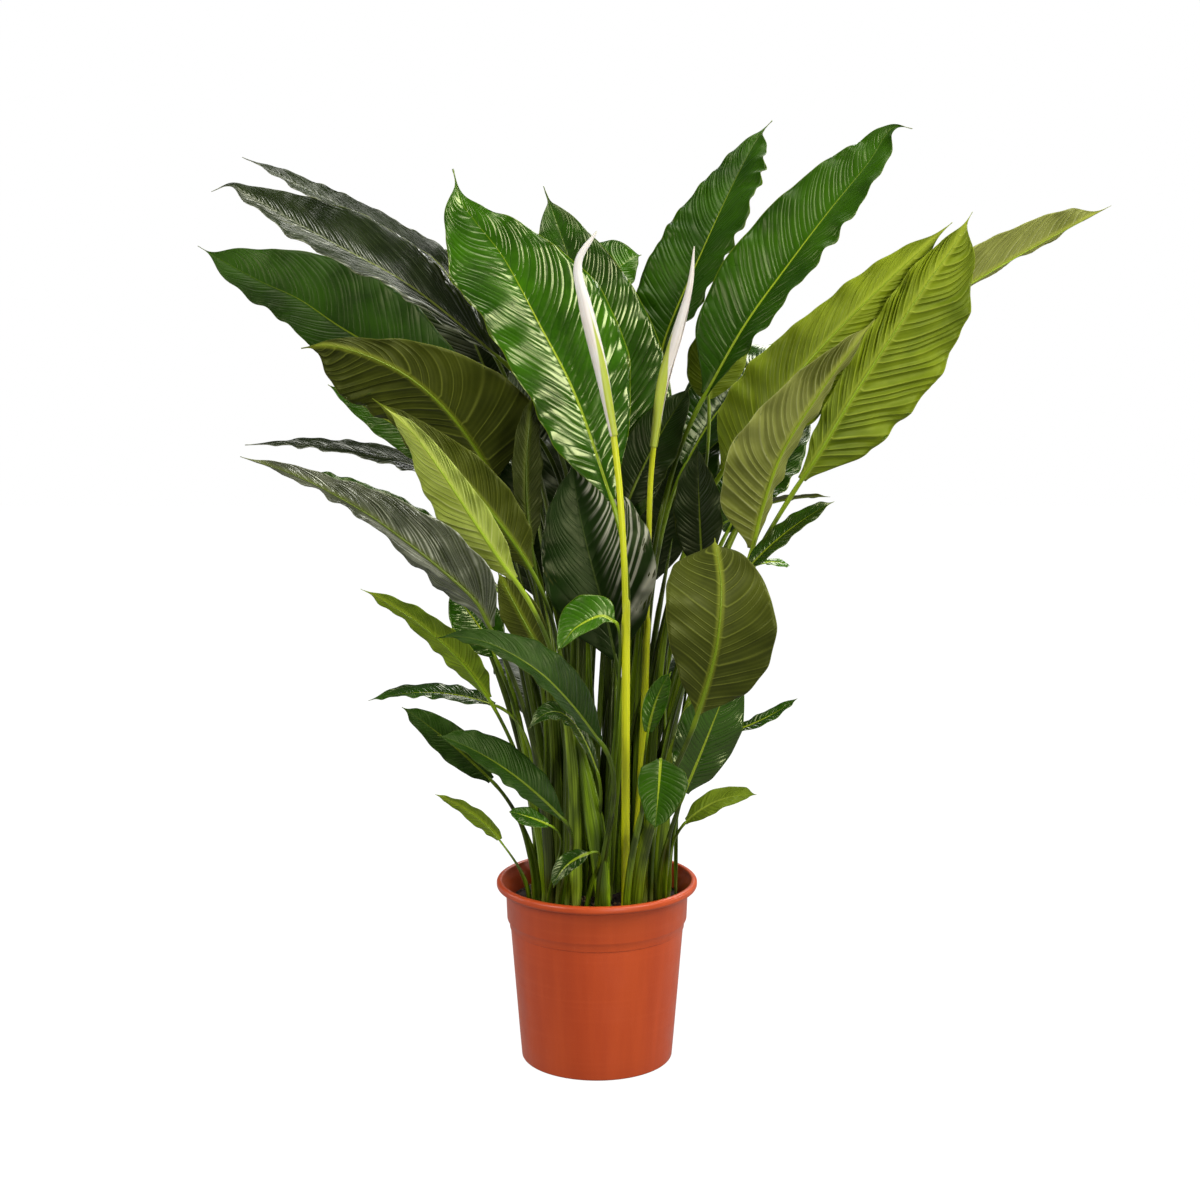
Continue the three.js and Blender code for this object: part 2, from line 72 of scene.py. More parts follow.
# Each leaf: its name, where it leaves the soil, the foot, middle and tip of its midrib, the full
# width of its blade, the way its upper side faces, the fold of its halves in degrees, and the
# radius of its petiole.
LEAVES = [
    ("front_main", (12, -45), (17, -70, 682), (-64, -42, 877), (-163, 0, 1052),
     165, (0.3, -1, 0.1), 14, 3.2),
    ("centre_back", (22, 28), (45, 40, 648), (0, 65, 843), (-65, 165, 1040), 150, (0.2, -1, 0.2), 15, 3),
    ("centre_tip", (5, 45), (-45, 170, 858), (8, 190, 926), (55, 210, 958), 70, (-0.3, -1, 0.5), 15, 2.5),
    ("crown_right", (36, 42), (76, 100, 796), (132, 175, 969), (221, 280, 1126),
     120, (-0.68, -1, 0.26), 25, 3.2),
    ("high_right", (50, 15), (127, 40, 794), (228, 78, 948), (378, 140, 1106),
     125, (-0.53, -1, 0.37), 25, 3.2),
    ("inner_right", (50, 50), (135, 110, 785), (150, 130, 845), (200, 150, 920),
     70, (0.3, 1, 0.4), 20, 2.5),
    ("right_olive", (60, -4), (145, -20, 710), (245, -60, 845), (390, -90, 990),
     130, (0.3, 1, 0.2), 20, 3.2),
    ("far_right", (70, 4), (320, 40, 845), (435, 70, 920), (615, 120, 1015),
     110, (-0.3, 1, 0.6), 15, 3.2),
    ("right_bright", (72, -18), (233, -50, 703), (325, -87, 862), (410, -100, 1001),
     140, (-0.2, 1, 0.2), 8, 3.2),
    ("right_fold", (55, -42), (174, -100, 631), (225, -148, 778), (295, -182, 887),
     110, (-0.5, 1, 0.3), 20, 3.2),
    ("right_dark", (62, -60), (165, -130, 610), (208, -145, 655), (258, -160, 690),
     40, (-0.5, -0.5, 0.8), 15, 2.3),
    ("right_thin", (88, 32), (160, 60, 645), (216, 68, 665), (280, 75, 670), 40, (0, 0.3, 1), 15, 2),
    ("front_round", (46, -70), (110, -185, 459), (130, -212, 570), (126, -192, 658),
     120, (0, 1, 0.15), 4, 3.2),
    ("centre_dark", (14, -12), (22, -30, 492), (-5, -12, 600), (-30, 0, 722), 130, (0, -1, 0.25), 12, 3),
    ("stalk_leaf", (10, -62), (20, -112, 550), (-10, -120, 556), (-45, -128, 518),
     45, (0, -1, 0.4), 10, 2),
    ("left_cross", (2, -83), (4, -150, 421), (-62, -178, 505), (-173, -200, 547),
     70, (0.3, -0.8, 0.8), 15, 3),
    ("left_low_fold", (-62, -25), (-125, -60, 452), (-182, -83, 527), (-264, -108, 586),
     56, (0.4, 0.8, 0.5), 15, 2.5),
    ("left_flat", (-75, -10), (-120, -20, 435), (-195, -10, 448), (-270, 0, 436),
     45, (0, -0.25, 1), 15, 2.2),
    ("left_low", (-70, -40), (-122, -70, 357), (-172, -84, 408), (-221, -98, 449),
     45, (0.3, -1, 0.5), 12, 2.5),
    ("left_front_low", (-42, -75), (-39, -140, 331), (-106, -168, 398), (-173, -198, 439),
     60, (0.3, -0.8, 0.8), 12, 2.5),
    ("pot_leaf", (-12, -70), (-8, -128, 287), (-35, -137, 274), (-49, -138, 249),
     26, (-0.3, -1, 0.6), 8, 1.8),
    ("hanging_leaf", (34, -84), (70, -190, 410), (67, -212, 380), (63, -225, 340),
     52, (0, -1, 0.3), 10, 1.8),
    ("right_low_dark", (76, -46), (100, -100, 350), (130, -110, 430), (160, -120, 515),
     72, (0.2, -1, 0.3), 12, 2.5),
    ("right_low_thin", (85, -8), (162, -30, 407), (198, -32, 423), (234, -30, 445),
     22, (-0.2, -0.4, 1), 12, 2),
    ("right_low", (80, -34), (104, -60, 305), (140, -78, 335), (183, -90, 345),
     34, (-0.3, -0.6, 0.8), 10, 2),
    ("centre_arch", (-10, -54), (0, -115, 380), (-36, -142, 450), (-76, -152, 435),
     35, (0.2, -0.5, 0.9), 15, 2),
    ("left_under", (-46, -24), (-118, 0, 698), (-205, -55, 812), (-326, -98, 853),
     130, (0.2, 1, 0.2), 15, 3.2),
    ("left_behind", (-55, 10), (-149, 20, 708), (-235, 20, 760), (-313, 20, 807),
     60, (0.2, -1, 0.4), 10, 2.6),
    ("left_narrow", (-60, 25), (-145, 60, 670), (-265, 80, 720), (-425, 100, 730),
     70, (0.1, -0.3, 1), 20, 2.6),
    ("left_long", (-54, -54), (-117, -150, 549), (-212, -178, 652), (-375, -220, 744),
     105, (0.35, 1, 0.5), 20, 3),
    ("left_bright", (-62, -12), (-115, -40, 575), (-230, -30, 665), (-345, -20, 710),
     60, (0.2, -0.5, 0.9), 15, 2.6),
    ("front_left", (-24, -72), (-90, -160, 605), (-160, -190, 710), (-225, -200, 795),
     100, (0.1, 1, 0.2), 15, 3),
    ("left_olive", (-34, -34), (-75, -80, 605), (-145, -110, 705), (-245, -130, 800),
     90, (-0.1, 1, 0.4), 20, 2.8),
    ("edge_leaf", (-22, -10), (-75, -52, 628), (-80, -60, 712), (-71, -55, 803),
     50, (-0.5, 1, 0), 12, 2.6),
    ("far_left", (-40, 20), (-127, 60, 787), (-298, 72, 869), (-473, 90, 967),
     130, (0.1, -1, 0.5), 12, 3.2),
    ("high_left", (-28, 10), (-114, 15, 839), (-265, 2, 948), (-436, -12, 1026),
     105, (0.2, -0.7, 0.6), 25, 3.2),
    ("high_left_back", (-25, 40), (-141, 120, 868), (-270, 140, 995), (-430, 162, 1074),
     65, (0, -0.4, 0.9), 25, 3),
    ("left_shade", (-45, 45), (-125, 160, 780), (-180, 220, 900), (-255, 300, 985),
     100, (0.2, -1, 0.5), 15, 3),
    ("inner_dark", (27, 62), (34, 17, 663), (68, 27, 737), (112, 47, 805), 66, (-0.3, -1, 0.5), 20, 2.6),
    ("inner_fold", (50, 34), (121, -50, 601), (117, -45, 673), (115, -39, 742),
     66, (-0.6, -0.8, 0), 15, 2.4),
    ("left_inner_pale", (-34, -54), (-62, -85, 508), (-88, -85, 556), (-112, -75, 600),
     44, (0.1, 1, 0.3), 12, 2.4),
    ("left_inner_green", (-70, 15), (-120, 0, 490), (-145, 0, 535), (-175, 10, 565),
     60, (0.2, -1, 0.5), 12, 2.4),
    ("left_edge_dark", (-66, 35), (-140, 40, 520), (-172, 40, 580), (-212, 40, 640),
     36, (0.5, -0.2, 0.8), 15, 2),
    ("back_crown", (15, 65), (20, 190, 760), (30, 290, 850), (30, 420, 880), 140, (0, -0.5, 1), 15, 3.2),
    ("back_high_right", (55, 62), (110, 170, 700), (190, 270, 800), (290, 370, 850),
     135, (-0.3, -0.4, 1), 15, 3.2),
    ("back_high_left", (-40, 65), (-90, 180, 690), (-170, 280, 780), (-270, 370, 820),
     130, (0.3, -0.4, 1), 15, 3.2),
    ("back_right", (35, 75), (70, 140, 560), (100, 230, 690), (140, 330, 770),
     120, (-0.2, -0.6, 1), 15, 3),
    ("back_left", (-20, 76), (-76, 179, 534), (-96, 249, 697), (-126, 359, 818),
     150, (0.2, -0.6, 1), 15, 3),
    ("back_low_right", (50, 76), (60, 130, 390), (100, 220, 450), (140, 320, 440),
     90, (-0.1, -0.3, 1), 12, 2.6),
    ("back_low_left", (-55, 75), (-60, 120, 370), (-90, 200, 430), (-130, 290, 430),
     85, (0.1, -0.3, 1), 12, 2.6),
    ("back_centre", (-5, 80), (-10, 150, 560), (-15, 230, 690), (-20, 330, 770),
     125, (0, -0.6, 1), 15, 3),
    ("back_side_right", (71, 48), (160, 131, 620), (215, 211, 700), (275, 301, 770),
     100, (-0.3, -0.6, 0.9), 15, 3),
]

# What single leaves have of their own. tone: its greens, in TONES. path: further points of its
# midrib. left, right: half the blade's width at HALF_STATIONS, as seen from the upper side. fold:
# how far each half is folded up, in degrees. quilt: how much the blade bulges between its veins, at
# the foot and the tip of the left half, then of the right. veins: the space between them. sweep:
# how far they run up the blade. drip: the width of the drip tip. bend: how the petiole leads into
# the blade. wave, wave_length: the waves of the margin. curl: how far the tip is carried off.
LEAF_LOOKS = {
    "front_main": {
        "tone": "glossy",
        "path": [(-24, -58, 799), (-64, -42, 877), (-104, -25, 950), (-137, -12, 992), (-155, -5, 1018)],
        "left": (44, 54, 58, 68, 26), "right": (42, 78, 84, 43, 9), "fold": (15, 10),
        "quilt": (0.8, 1.6, 1.5, 0.2),
    },
    "high_left": {
        "tone": "silver", "sweep": 0.55, "quilt": (3.4, 3, 1.6, 1.6),
        "path": [
            (-180, 8, 895), (-228, 4, 930), (-293, 0, 965),
            (-349, -4, 996), (-393, -8, 1022), (-414, -10, 1033),
        ],
        "left": (20, 27, 32, 30, 12), "right": (24, 42, 50, 32, 8), "veins": 6,
    },
    "high_left_back": {
        "tone": "silver", "sweep": 0.55, "quilt": (2.4, 2.4, 1.6, 1.6), "veins": 6,
        "path": [
            (-189, 125, 945), (-237, 135, 975), (-304, 145, 1012),
            (-359, 153, 1039), (-406, 159, 1063),
        ],
        "left": (24, 32, 32, 24, 12), "right": (18, 22, 22, 16, 9),
    },
    "far_left": {
        "tone": "satin", "quilt": (0.4, 0.7, 0.4, 0.7),
        "path": [(-209, 65, 820), (-298, 72, 869), (-351, 78, 904), (-397, 82, 925), (-441, 88, 948)],
        "left": (28, 44, 42, 30, 18), "right": (40, 74, 78, 50, 23), "drip": 1,
    },
    "left_under": {
        "path": [(-146, -22, 747), (-178, -42, 789), (-216, -62, 823), (-260, -80, 846), (-298, -92, 856)],
        "left": (88, 76, 48, 20, 6), "right": (38, 52, 66, 60, 36), "drip": 2, "veins": 15,
        "quilt": (0.5, 0.5, 0.9, 1.8), "tone": "olive",
    },
    "left_behind": {"left": (20, 25, 22, 14, 6), "right": (26, 30, 28, 20, 8), "tone": "lit"},
    "left_narrow": {
        "tone": "silver", "sweep": 0.5, "quilt": (2.4, 2.4, 1.6, 1.6), "left": (24, 32, 32, 22, 10),
        "right": (24, 26, 20, 14, 7),
    },
    "left_olive": {
        "left": (24, 32, 30, 18, 8), "right": (30, 36, 34, 20, 8), "tone": "deep",
        "quilt": (1.2, 1.2, 1.2, 1.2),
    },
    "front_left": {
        "path": [(-105, -166, 627), (-136, -178, 677), (-167, -188, 727), (-196, -196, 768)],
        "left": (16, 20, 16, 11, 5), "right": (24, 36, 32, 18, 7), "veins": 9, "tone": "bright",
        "quilt": (2, 1.8, 2, 1.8),
    },
    "left_long": {
        "path": [
            (-133, -156, 581), (-170, -166, 618), (-212, -178, 654),
            (-253, -190, 685), (-315, -205, 721),
        ],
        "left": (40, 46, 32, 13, 7), "right": (34, 26, 14, 8, 6), "veins": 9, "sweep": 0.5,
        "quilt": (2.6, 2.4, 1.4, 1.2), "tone": "silver",
    },
    "left_bright": {"left": (22, 28, 26, 18, 8), "right": (20, 24, 20, 12, 7)},
    "left_low_fold": {
        "left": (20, 26, 24, 16, 7), "right": (20, 24, 20, 13, 7), "tone": "young",
        "quilt": (1, 1, 1, 1),
    },
    "left_cross": {
        "path": [(-27, -165, 466), (-62, -178, 505), (-107, -188, 535), (-145, -195, 547)],
        "left": (14, 16, 14, 9, 5), "right": (24, 34, 30, 15, 6), "tone": "satin",
    },
    "left_flat": {"left": (18, 20, 18, 12, 6), "right": (18, 20, 20, 16, 8)},
    "left_low": {"tone": "satin", "left": (15, 19, 18, 12, 6), "right": (17, 22, 20, 14, 6)},
    "left_front_low": {"tone": "satin", "left": (14, 18, 16, 11, 6), "right": (23, 30, 30, 22, 9)},
    "pot_leaf": {"left": (8, 10, 9, 6, 3), "right": (10, 13, 13, 9, 4), "drip": 1},
    "hanging_leaf": {
        "bend": 0.05, "tone": "dusk", "left": (26, 31, 28, 19, 9), "right": (20, 23, 21, 14, 8),
    },
    "stalk_leaf": {
        "bend": 0.06, "tone": "young", "path": [(4, -116, 557), (-21, -121, 546), (-34, -125, 533)],
        "left": (8, 12, 11, 7, 4), "right": (20, 30, 26, 13, 5), "drip": 2,
    },
    "front_round": {
        "path": [(124, -200, 512), (131, -210, 557), (133, -208, 608)],
        "left": (38, 59, 61, 46, 22), "right": (26, 48, 58, 59, 47), "drip": 2, "curl": (1, 2, -4),
        "tone": "olive", "veins": 11.5, "quilt": (0.6, 0.5, 0.3, 0.3),
    },
    "right_low_dark": {"left": (26, 36, 36, 24, 9), "right": (22, 32, 34, 22, 9)},
    "right_dark": {"left": (14, 18, 18, 14, 7), "right": (15, 18, 18, 14, 7)},
    "edge_leaf": {
        "left": (16, 20, 20, 15, 7), "right": (8, 14, 16, 14, 7), "tone": "shade",
        "quilt": (0.6, 0.6, 0.6, 0.6),
    },
    "crown_right": {
        "path": [(82, 120, 856), (132, 175, 969), (172, 230, 1050), (201, 265, 1101)],
        "left": (46, 60, 54, 32, 13), "right": (28, 48, 56, 50, 22), "tone": "dusk", "wave": 3,
        "wave_length": 42, "quilt": (0.5, 2, 0.7, 1),
    },
    "high_right": {
        "path": [
            (174, 57, 875), (228, 78, 948), (276, 98, 1009),
            (323, 118, 1065), (345, 132, 1098), (359, 137, 1109),
        ],
        "left": (50, 66, 60, 42, 16), "right": (28, 36, 40, 34, 17), "tone": "dusk",
        "quilt": (1.2, 0.7, 0.7, 0.9),
    },
    "right_bright": {
        "path": [
            (252, -62, 736), (283, -75, 793), (312, -84, 842),
            (338, -90, 884), (364, -95, 925), (392, -99, 967),
        ],
        "left": (50, 68, 74, 60, 28), "right": (18, 24, 26, 24, 12), "fold": (8, 35), "tone": "lit",
        "veins": 11, "quilt": (2, 1.6, 2.4, 2.2),
    },
    "right_olive": {
        "right": (46, 50, 38, 28, 14), "left": (40, 50, 50, 40, 16), "tone": "lit",
        "quilt": (1.2, 1, 1.2, 1),
    },
    "right_fold": {
        "path": [(184, -115, 681), (204, -135, 744), (243, -158, 812), (270, -172, 852)],
        "left": (14, 18, 16, 12, 6), "right": (48, 60, 46, 28, 10), "tone": "pale", "veins": 10,
        "quilt": (1.6, 1.6, 2, 1.8),
    },
    "far_right": {
        "left": (9, 11, 11, 8, 5), "right": (30, 40, 41, 35, 22), "fold": (35, 15), "tone": "pale",
        "sweep": 0.45, "veins": 9, "quilt": (1.6, 1.6, 1.6, 1.6),
    },
    "centre_tip": {
        "tone": "glossy", "left": (30, 50, 60, 58, 38), "right": (24, 34, 36, 26, 10),
        "fold": (0, 15), "quilt": (1.8, 1.8, 1.5, 1.5),
    },
    "centre_dark": {
        "tone": "slate", "path": [(11, -22, 540), (-6, -12, 600), (-20, -5, 660)],
        "left": (40, 58, 56, 40, 14), "right": (44, 70, 74, 60, 26), "sweep": 0.75, "veins": 12,
        "quilt": (0.15, 0.15, 0.8, 0.8),
    },
    "inner_right": {"tone": "lit"},
    "left_inner_green": {"tone": "glossy"},
    "right_low": {"tone": "straw", "left": (16, 18, 17, 12, 7), "right": (12, 15, 14, 10, 5)},
}
# These leaves, deep inside and behind the plant, take the shade tone: greens darkened to paint the shade
# they stand in.
SHADED_LEAVES = [
    "back_left", "back_centre", "back_right", "back_low_left", "back_low_right", "inner_dark",
    "inner_fold", "left_shade",
]
LEAF_LOOKS.update({name: {"tone": "shade"} for name in SHADED_LEAVES})

# Young leaves that have no node of their own in the frame.
SLIPS = [
    ("right_sprig", (95, 15), (200, 40, 595), (215, 45, 595), (230, 50, 590), 14, (0, -0.5, 1), 10, 1.2),
    ("left_slip", (-80, -28), (-115, -30, 275), (-145, -30, 305), (-190, -30, 330),
     28, (0.3, 0.8, 0.6), 10, 1.4),
    ("inner_slip", (-58, -58), (-55, -110, 315), (-80, -110, 325), (-100, -110, 330),
     26, (0, -0.6, 1), 10, 1.4),
    ("centre_slip", (52, -36), (60, -30, 405), (70, -30, 445), (85, -30, 475), 25, (0, -1, 0.3), 12, 1.5),
]

# Each flower: points of its stalk and of its spathe, the height where the stalk leaves its sheath,
# the stalk's radius in the sheath and above it, how green the spathe's foot is, the way its keel
# faces, and the spathe's radius up its length.
FLOWERS = [
    {
        "name": "flower_front",
        "stalk": [
            (33, -75, 195), (33, -90, 400), (32, -105, 575), (26, -110, 690), (18, -110, 765),
        ],
        "spathe": [
            (18, -110, 765), (4, -110, 835), (-12, -110, 900), (-20, -108, 945), (0, -105, 980),
        ],
        "sheath_end": 560,
        "low_radius": 4.8,
        "high_radius": 3.6,
        "green": 0.3,
        "keel": (0.5, -1, 0),
        "girth": [
            (-0.035, 4.1), (0, 4.3), (0.15, 6.2), (0.3, 7.4), (0.45, 7.4), (0.6, 5.4), (0.75, 4.2),
            (0.88, 3), (0.96, 1.6), (1, 0.4),
        ],
    },
    {
        "name": "flower_right",
        "stalk": [(42, -18, 195), (55, -2, 400), (60, 4, 600), (62, -5, 690), (66, -15, 745)],
        "spathe": [
            (66, -15, 745), (75, -20, 810), (92, -25, 870), (105, -30, 920), (110, -30, 965),
        ],
        "sheath_end": 520,
        "low_radius": 4.2,
        "high_radius": 3.2,
        "green": 1.1,
        "keel": (-1, -0.5, 0),
        "girth": [
            (-0.035, 3.8), (0, 4), (0.15, 5.4), (0.3, 6.2), (0.45, 6.2), (0.6, 4.6), (0.75, 3),
            (0.88, 1.7), (1, 0.4),
        ],
    },
]

# ---------------------------------------------------------------- camera, light and floor

CAMERA_DISTANCE = 2.372
CAMERA_HEIGHT = 0.931
CAMERA_SIDE = 0.0037
CAMERA_DOWN_DEGREES = 8.97
CAMERA_LENS = 61.43
FLOOR_HALF = 6.0


def make_camera():
    data = bpy.data.cameras.new("camera")
    data.lens = CAMERA_LENS
    data.sensor_width = 36
    camera = bpy.data.objects.new("camera", data)
    camera.location = (CAMERA_SIDE, -CAMERA_DISTANCE, CAMERA_HEIGHT)
    camera.rotation_euler = (math.radians(90 - CAMERA_DOWN_DEGREES), 0, 0)
    bpy.context.scene.collection.objects.link(camera)
    bpy.context.scene.camera = camera


def make_softbox(name, place, target, size, brightness):
    """A rectangular light whose face shines with the given brightness (white paper in it is 1)."""
    data = bpy.data.lights.new(name, "AREA")
    data.shape = "RECTANGLE"
    data.size, data.size_y = size
    data.energy = brightness * math.pi * size[0] * size[1]
    light = bpy.data.objects.new(name, data)
    light.location = place
    aim = np.array(target, float) - np.array(place, float)
    tilt, turn = math.atan2(math.hypot(aim[0], aim[1]), -aim[2]), math.atan2(-aim[0], aim[1])
    light.rotation_euler = (tilt, 0, turn)
    bpy.context.scene.collection.objects.link(light)


def make_stage():
    world = bpy.data.worlds.new("studio")
    world.use_nodes = True
    tree = world.node_tree
    background = tree.nodes["Background"]
    background.inputs["Color"].default_value = (1, 1, 1, 1)
    strength = tree.nodes.new("ShaderNodeMapRange")
    strength.inputs["To Min"].default_value = WORLD_LIGHT
    strength.inputs["To Max"].default_value = WORLD_SEEN
    seen = tree.nodes.new("ShaderNodeLightPath").outputs["Is Camera Ray"]
    tree.links.new(seen, strength.inputs["Value"])
    tree.links.new(strength.outputs["Result"], background.inputs["Strength"])
    bpy.context.scene.world = world
    bpy.context.scene.view_settings.view_transform = "Standard"
    for light in SOFTBOXES:
        make_softbox(*light)
    corners = [(-FLOOR_HALF, -FLOOR_HALF, 0), (FLOOR_HALF, -FLOOR_HALF, 0)]
    corners += [(FLOOR_HALF, FLOOR_HALF, 0), (-FLOOR_HALF, FLOOR_HALF, 0)]
    mesh = bpy.data.meshes.new("floor")
    mesh.from_pydata(corners, [], [(0, 1, 2, 3)])
    floor = bpy.data.objects.new("floor", mesh)
    bpy.context.scene.collection.objects.link(floor)
    paint = Shader("floor")
    paint.set("Roughness", 0.9)
    paint.set("Base Color", (0.05, 0.05, 0.05, 1))
    paint.set("Emission Color", (1, 1, 1, 1))
    seen = paint.node("LightPath").outputs["Is Camera Ray"]
    paint.set("Emission Strength", paint.ramp(seen, 0.0, 1.0, FLOOR_GLOW, 1.0))
    paint.set("Specular IOR Level", 0.1)
    mesh.materials.append(paint.material)
    floor.visible_diffuse = False


# The world lights the plant less than it shows, so that the room is white and the shade deep.
WORLD_LIGHT = 0.1
WORLD_SEEN = 1.0
FLOOR_GLOW = 0.35

# Each light: name, place, where it looks, its width and height in metres, and its brightness.
SOFTBOXES = [
    ("left_softbox", (-2.0, -1.5, 1.7), (0, 0, 0.75), (0.8, 1.5), 10),
    ("right_softbox", (1.75, -1.1, 2.3), (0, 0, 0.75), (0.9, 1.4), 13.5),
    ("front_softbox", (1.0, -2.5, 0.8), (0, 0, 0.5), (0.6, 1.1), 14),
    ("top_softbox", (0.1, 0.1, 3.1), (0, 0, 0.9), (1.5, 1.0), 5),
    ("back_softbox", (0.6, 1.8, 2.0), (0, 0, 0.8), (1.4, 1.0), 8),
    ("right_rim_light", (2.2, 0.7, 0.9), (0, 0, 0.6), (0.6, 1.4), 5),
    ("left_rim_light", (-2.2, 0.6, 0.9), (0, 0, 0.6), (0.6, 1.4), 4.5),
]


# ---------------------------------------------------------------- shader helpers


def colour(red, green, blue):
    """A linear colour from the 0 to 255 numbers of a screen."""

    def linear(c):
        c /= 255
        return c / 12.92 if c <= 0.04045 else ((c + 0.055) / 1.055) ** 2.4

    return (linear(red), linear(green), linear(blue), 1)


class Shader:
    """A material with one Principled shader, and short calls for the nodes that feed it."""

    def __init__(self, name):
        self.material = bpy.data.materials.new(name)
        self.material.use_nodes = True
        self.tree = self.material.node_tree
        self.principled = self.tree.nodes["Principled BSDF"]

    def node(self, kind, **settings):
        made = self.tree.nodes.new("ShaderNode" + kind)
        for key, value in settings.items():
            setattr(made, key, value)
        return made

    def feed(self, socket, value):
        if isinstance(value, bpy.types.NodeSocket):
            self.tree.links.new(value, socket)
        else:
            socket.default_value = value

    def set(self, name, value):
        self.feed(self.principled.inputs[name], value)

    def attribute(self, name):
        return self.node("Attribute", attribute_name=name).outputs["Fac"]

    def math(self, operation, a, b=0.0, clamp=False):
        made = self.node("Math", operation=operation, use_clamp=clamp)
        for socket, value in zip(made.inputs, (a, b)):
            self.feed(socket, value)
        return made.outputs[0]

    def times(self, a, b):
        return self.math("MULTIPLY", a, b)

    def plus(self, a, b):
        return self.math("ADD", a, b)

    def ramp(self, value, low, high, to_low=0.0, to_high=1.0):
        """value from low to high, smoothly, onto to_low to to_high."""
        made = self.node("MapRange", interpolation_type="SMOOTHSTEP")
        names = ("Value", "From Min", "From Max", "To Min", "To Max")
        for name, number in zip(names, (value, low, high, to_low, to_high)):
            self.feed(made.inputs[name], number)
        return made.outputs[0]

    def mix(self, share, a, b):
        made = self.node("Mix", data_type="RGBA")
        self.feed(made.inputs[0], share)
        self.feed(made.inputs[6], a)
        self.feed(made.inputs[7], b)
        return made.outputs[2]

    def noise(self, scale, detail=3.0, roughness=0.5, vector=None, distortion=0.0):
        made = self.node("TexNoise")
        names = ("Scale", "Detail", "Roughness", "Distortion")
        for name, number in zip(names, (scale, detail, roughness, distortion)):
            made.inputs[name].default_value = number
        if vector is None:
            vector = self.node("TexCoord").outputs["Object"]
        self.tree.links.new(vector, made.inputs["Vector"])
        return made.outputs["Fac"]

    def finished(self, base, rough, height, distance, strength):
        """The material, with its colour, its roughness and its relief (distance is in metres)."""
        self.set("Base Color", base)
        self.set("Roughness", rough)
        self.bump(height, distance, strength)
        return self.material

    def stretched(self, x, y, z):
        made = self.node("Mapping")
        made.inputs["Scale"].default_value = (x, y, z)
        self.tree.links.new(self.node("TexCoord").outputs["Object"], made.inputs["Vector"])
        return made.outputs["Vector"]

    def bump(self, height, distance, strength):
        made = self.node("Bump")
        made.inputs["Distance"].default_value = distance
        made.inputs["Strength"].default_value = strength
        self.feed(made.inputs["Height"], height)
        self.tree.links.new(made.outputs["Normal"], self.principled.inputs["Normal"])


# ---------------------------------------------------------------- leaf materials

# Screen colours of a leaf's tone: upper side dark and light, lower side dark and light, the
# side veins below, and the midrib; then how rough its wax is. lit and bright are the greens
# lightened, painted light on leaves that stand in it; shade is the greens darkened, painted shade
# for leaves deep inside the plant. On silver and slate the vein colour is also painted above as highlights.
TONES = {
    "deep": ((14, 38, 1), (40, 80, 3), (44, 52, 4), (70, 78, 10), (112, 118, 40), (136, 152, 28), 0.2),
    "glossy": ((24, 60, 1), (56, 106, 3), (50, 60, 5), (80, 92, 12), (120, 128, 44), (156, 172, 36), 0.17),
    "satin": ((16, 42, 2), (40, 74, 6), (44, 52, 4), (70, 78, 10), (112, 118, 40), (104, 120, 18), 0.42),
    "shade": ((6, 17, 1), (18, 38, 2), (24, 32, 2), (40, 50, 6), (72, 80, 22), (84, 98, 16), 0.36),
    "silver": ((16, 28, 3), (36, 50, 9), (40, 50, 12), (70, 79, 32), (188, 190, 162), (112, 122, 46), 0.18),
    "slate": ((12, 32, 4), (30, 55, 13), (28, 36, 3), (46, 56, 8), (226, 222, 196), (72, 88, 36), 0.36),
    "dusk": ((24, 55, 1), (46, 84, 4), (50, 60, 5), (80, 92, 12), (120, 128, 44), (140, 156, 34), 0.3),
    "straw": (
        (84, 104, 14), (118, 138, 34), (82, 108, 8),
        (118, 144, 20), (156, 174, 52), (150, 166, 52), 0.4,
    ),
    "lit": ((34, 72, 2), (62, 112, 5), (80, 98, 4), (124, 140, 16), (158, 170, 52), (168, 180, 52), 0.22),
    "bright": (
        (34, 72, 2), (62, 112, 5), (132, 146, 44),
        (170, 184, 82), (196, 204, 124), (190, 200, 84), 0.22,
    ),
    "olive": ((24, 46, 3), (48, 78, 8), (38, 45, 3), (64, 71, 9), (110, 117, 40), (140, 150, 40), 0.24),
    "young": (
        (36, 80, 2), (70, 124, 6), (82, 108, 8),
        (118, 144, 20), (156, 174, 52), (168, 188, 44), 0.24,
    ),
    "pale": (
        (30, 60, 6), (60, 96, 16), (94, 100, 30),
        (136, 140, 66), (168, 170, 108), (174, 182, 66), 0.26,
    ),
}


# Painted highlights, pale streaks beside the veins: how wide they are on the tones that have them,
# and the mesh attribute that they grow with, from its low to its high value.
PAINTED_HIGHLIGHT_WIDTHS = {"silver": 0.34, "slate": 0.3}
PAINTED_HIGHLIGHT_PLACES = {"silver": ("across", 0.3, -0.3, 0.12), "slate": ("across", 0.1, 0.45, 0.0)}


def vein_mask(shader, fine=1.0, width=0.07):
    """1 along the side veins, which lie at whole numbers of the mesh's vein attribute."""
    phase = shader.times(shader.attribute("vein"), fine)
    away = shader.math("PINGPONG", phase, 0.5)
    return shader.ramp(away, 0.0, width, 1.0, 0.0)


def along_grain(shader, around, along, detail=3):
    """Noise drawn out along a stalk, from mesh attributes, so that it follows every bend."""
    joined = shader.node("CombineXYZ")
    shader.feed(joined.inputs[0], shader.times(shader.attribute("across"), around))
    shader.feed(joined.inputs[1], shader.times(shader.attribute("turn"), around))
    shader.feed(joined.inputs[2], shader.times(shader.attribute("along"), along))
    return shader.noise(1, detail, 0.55, joined.outputs[0])


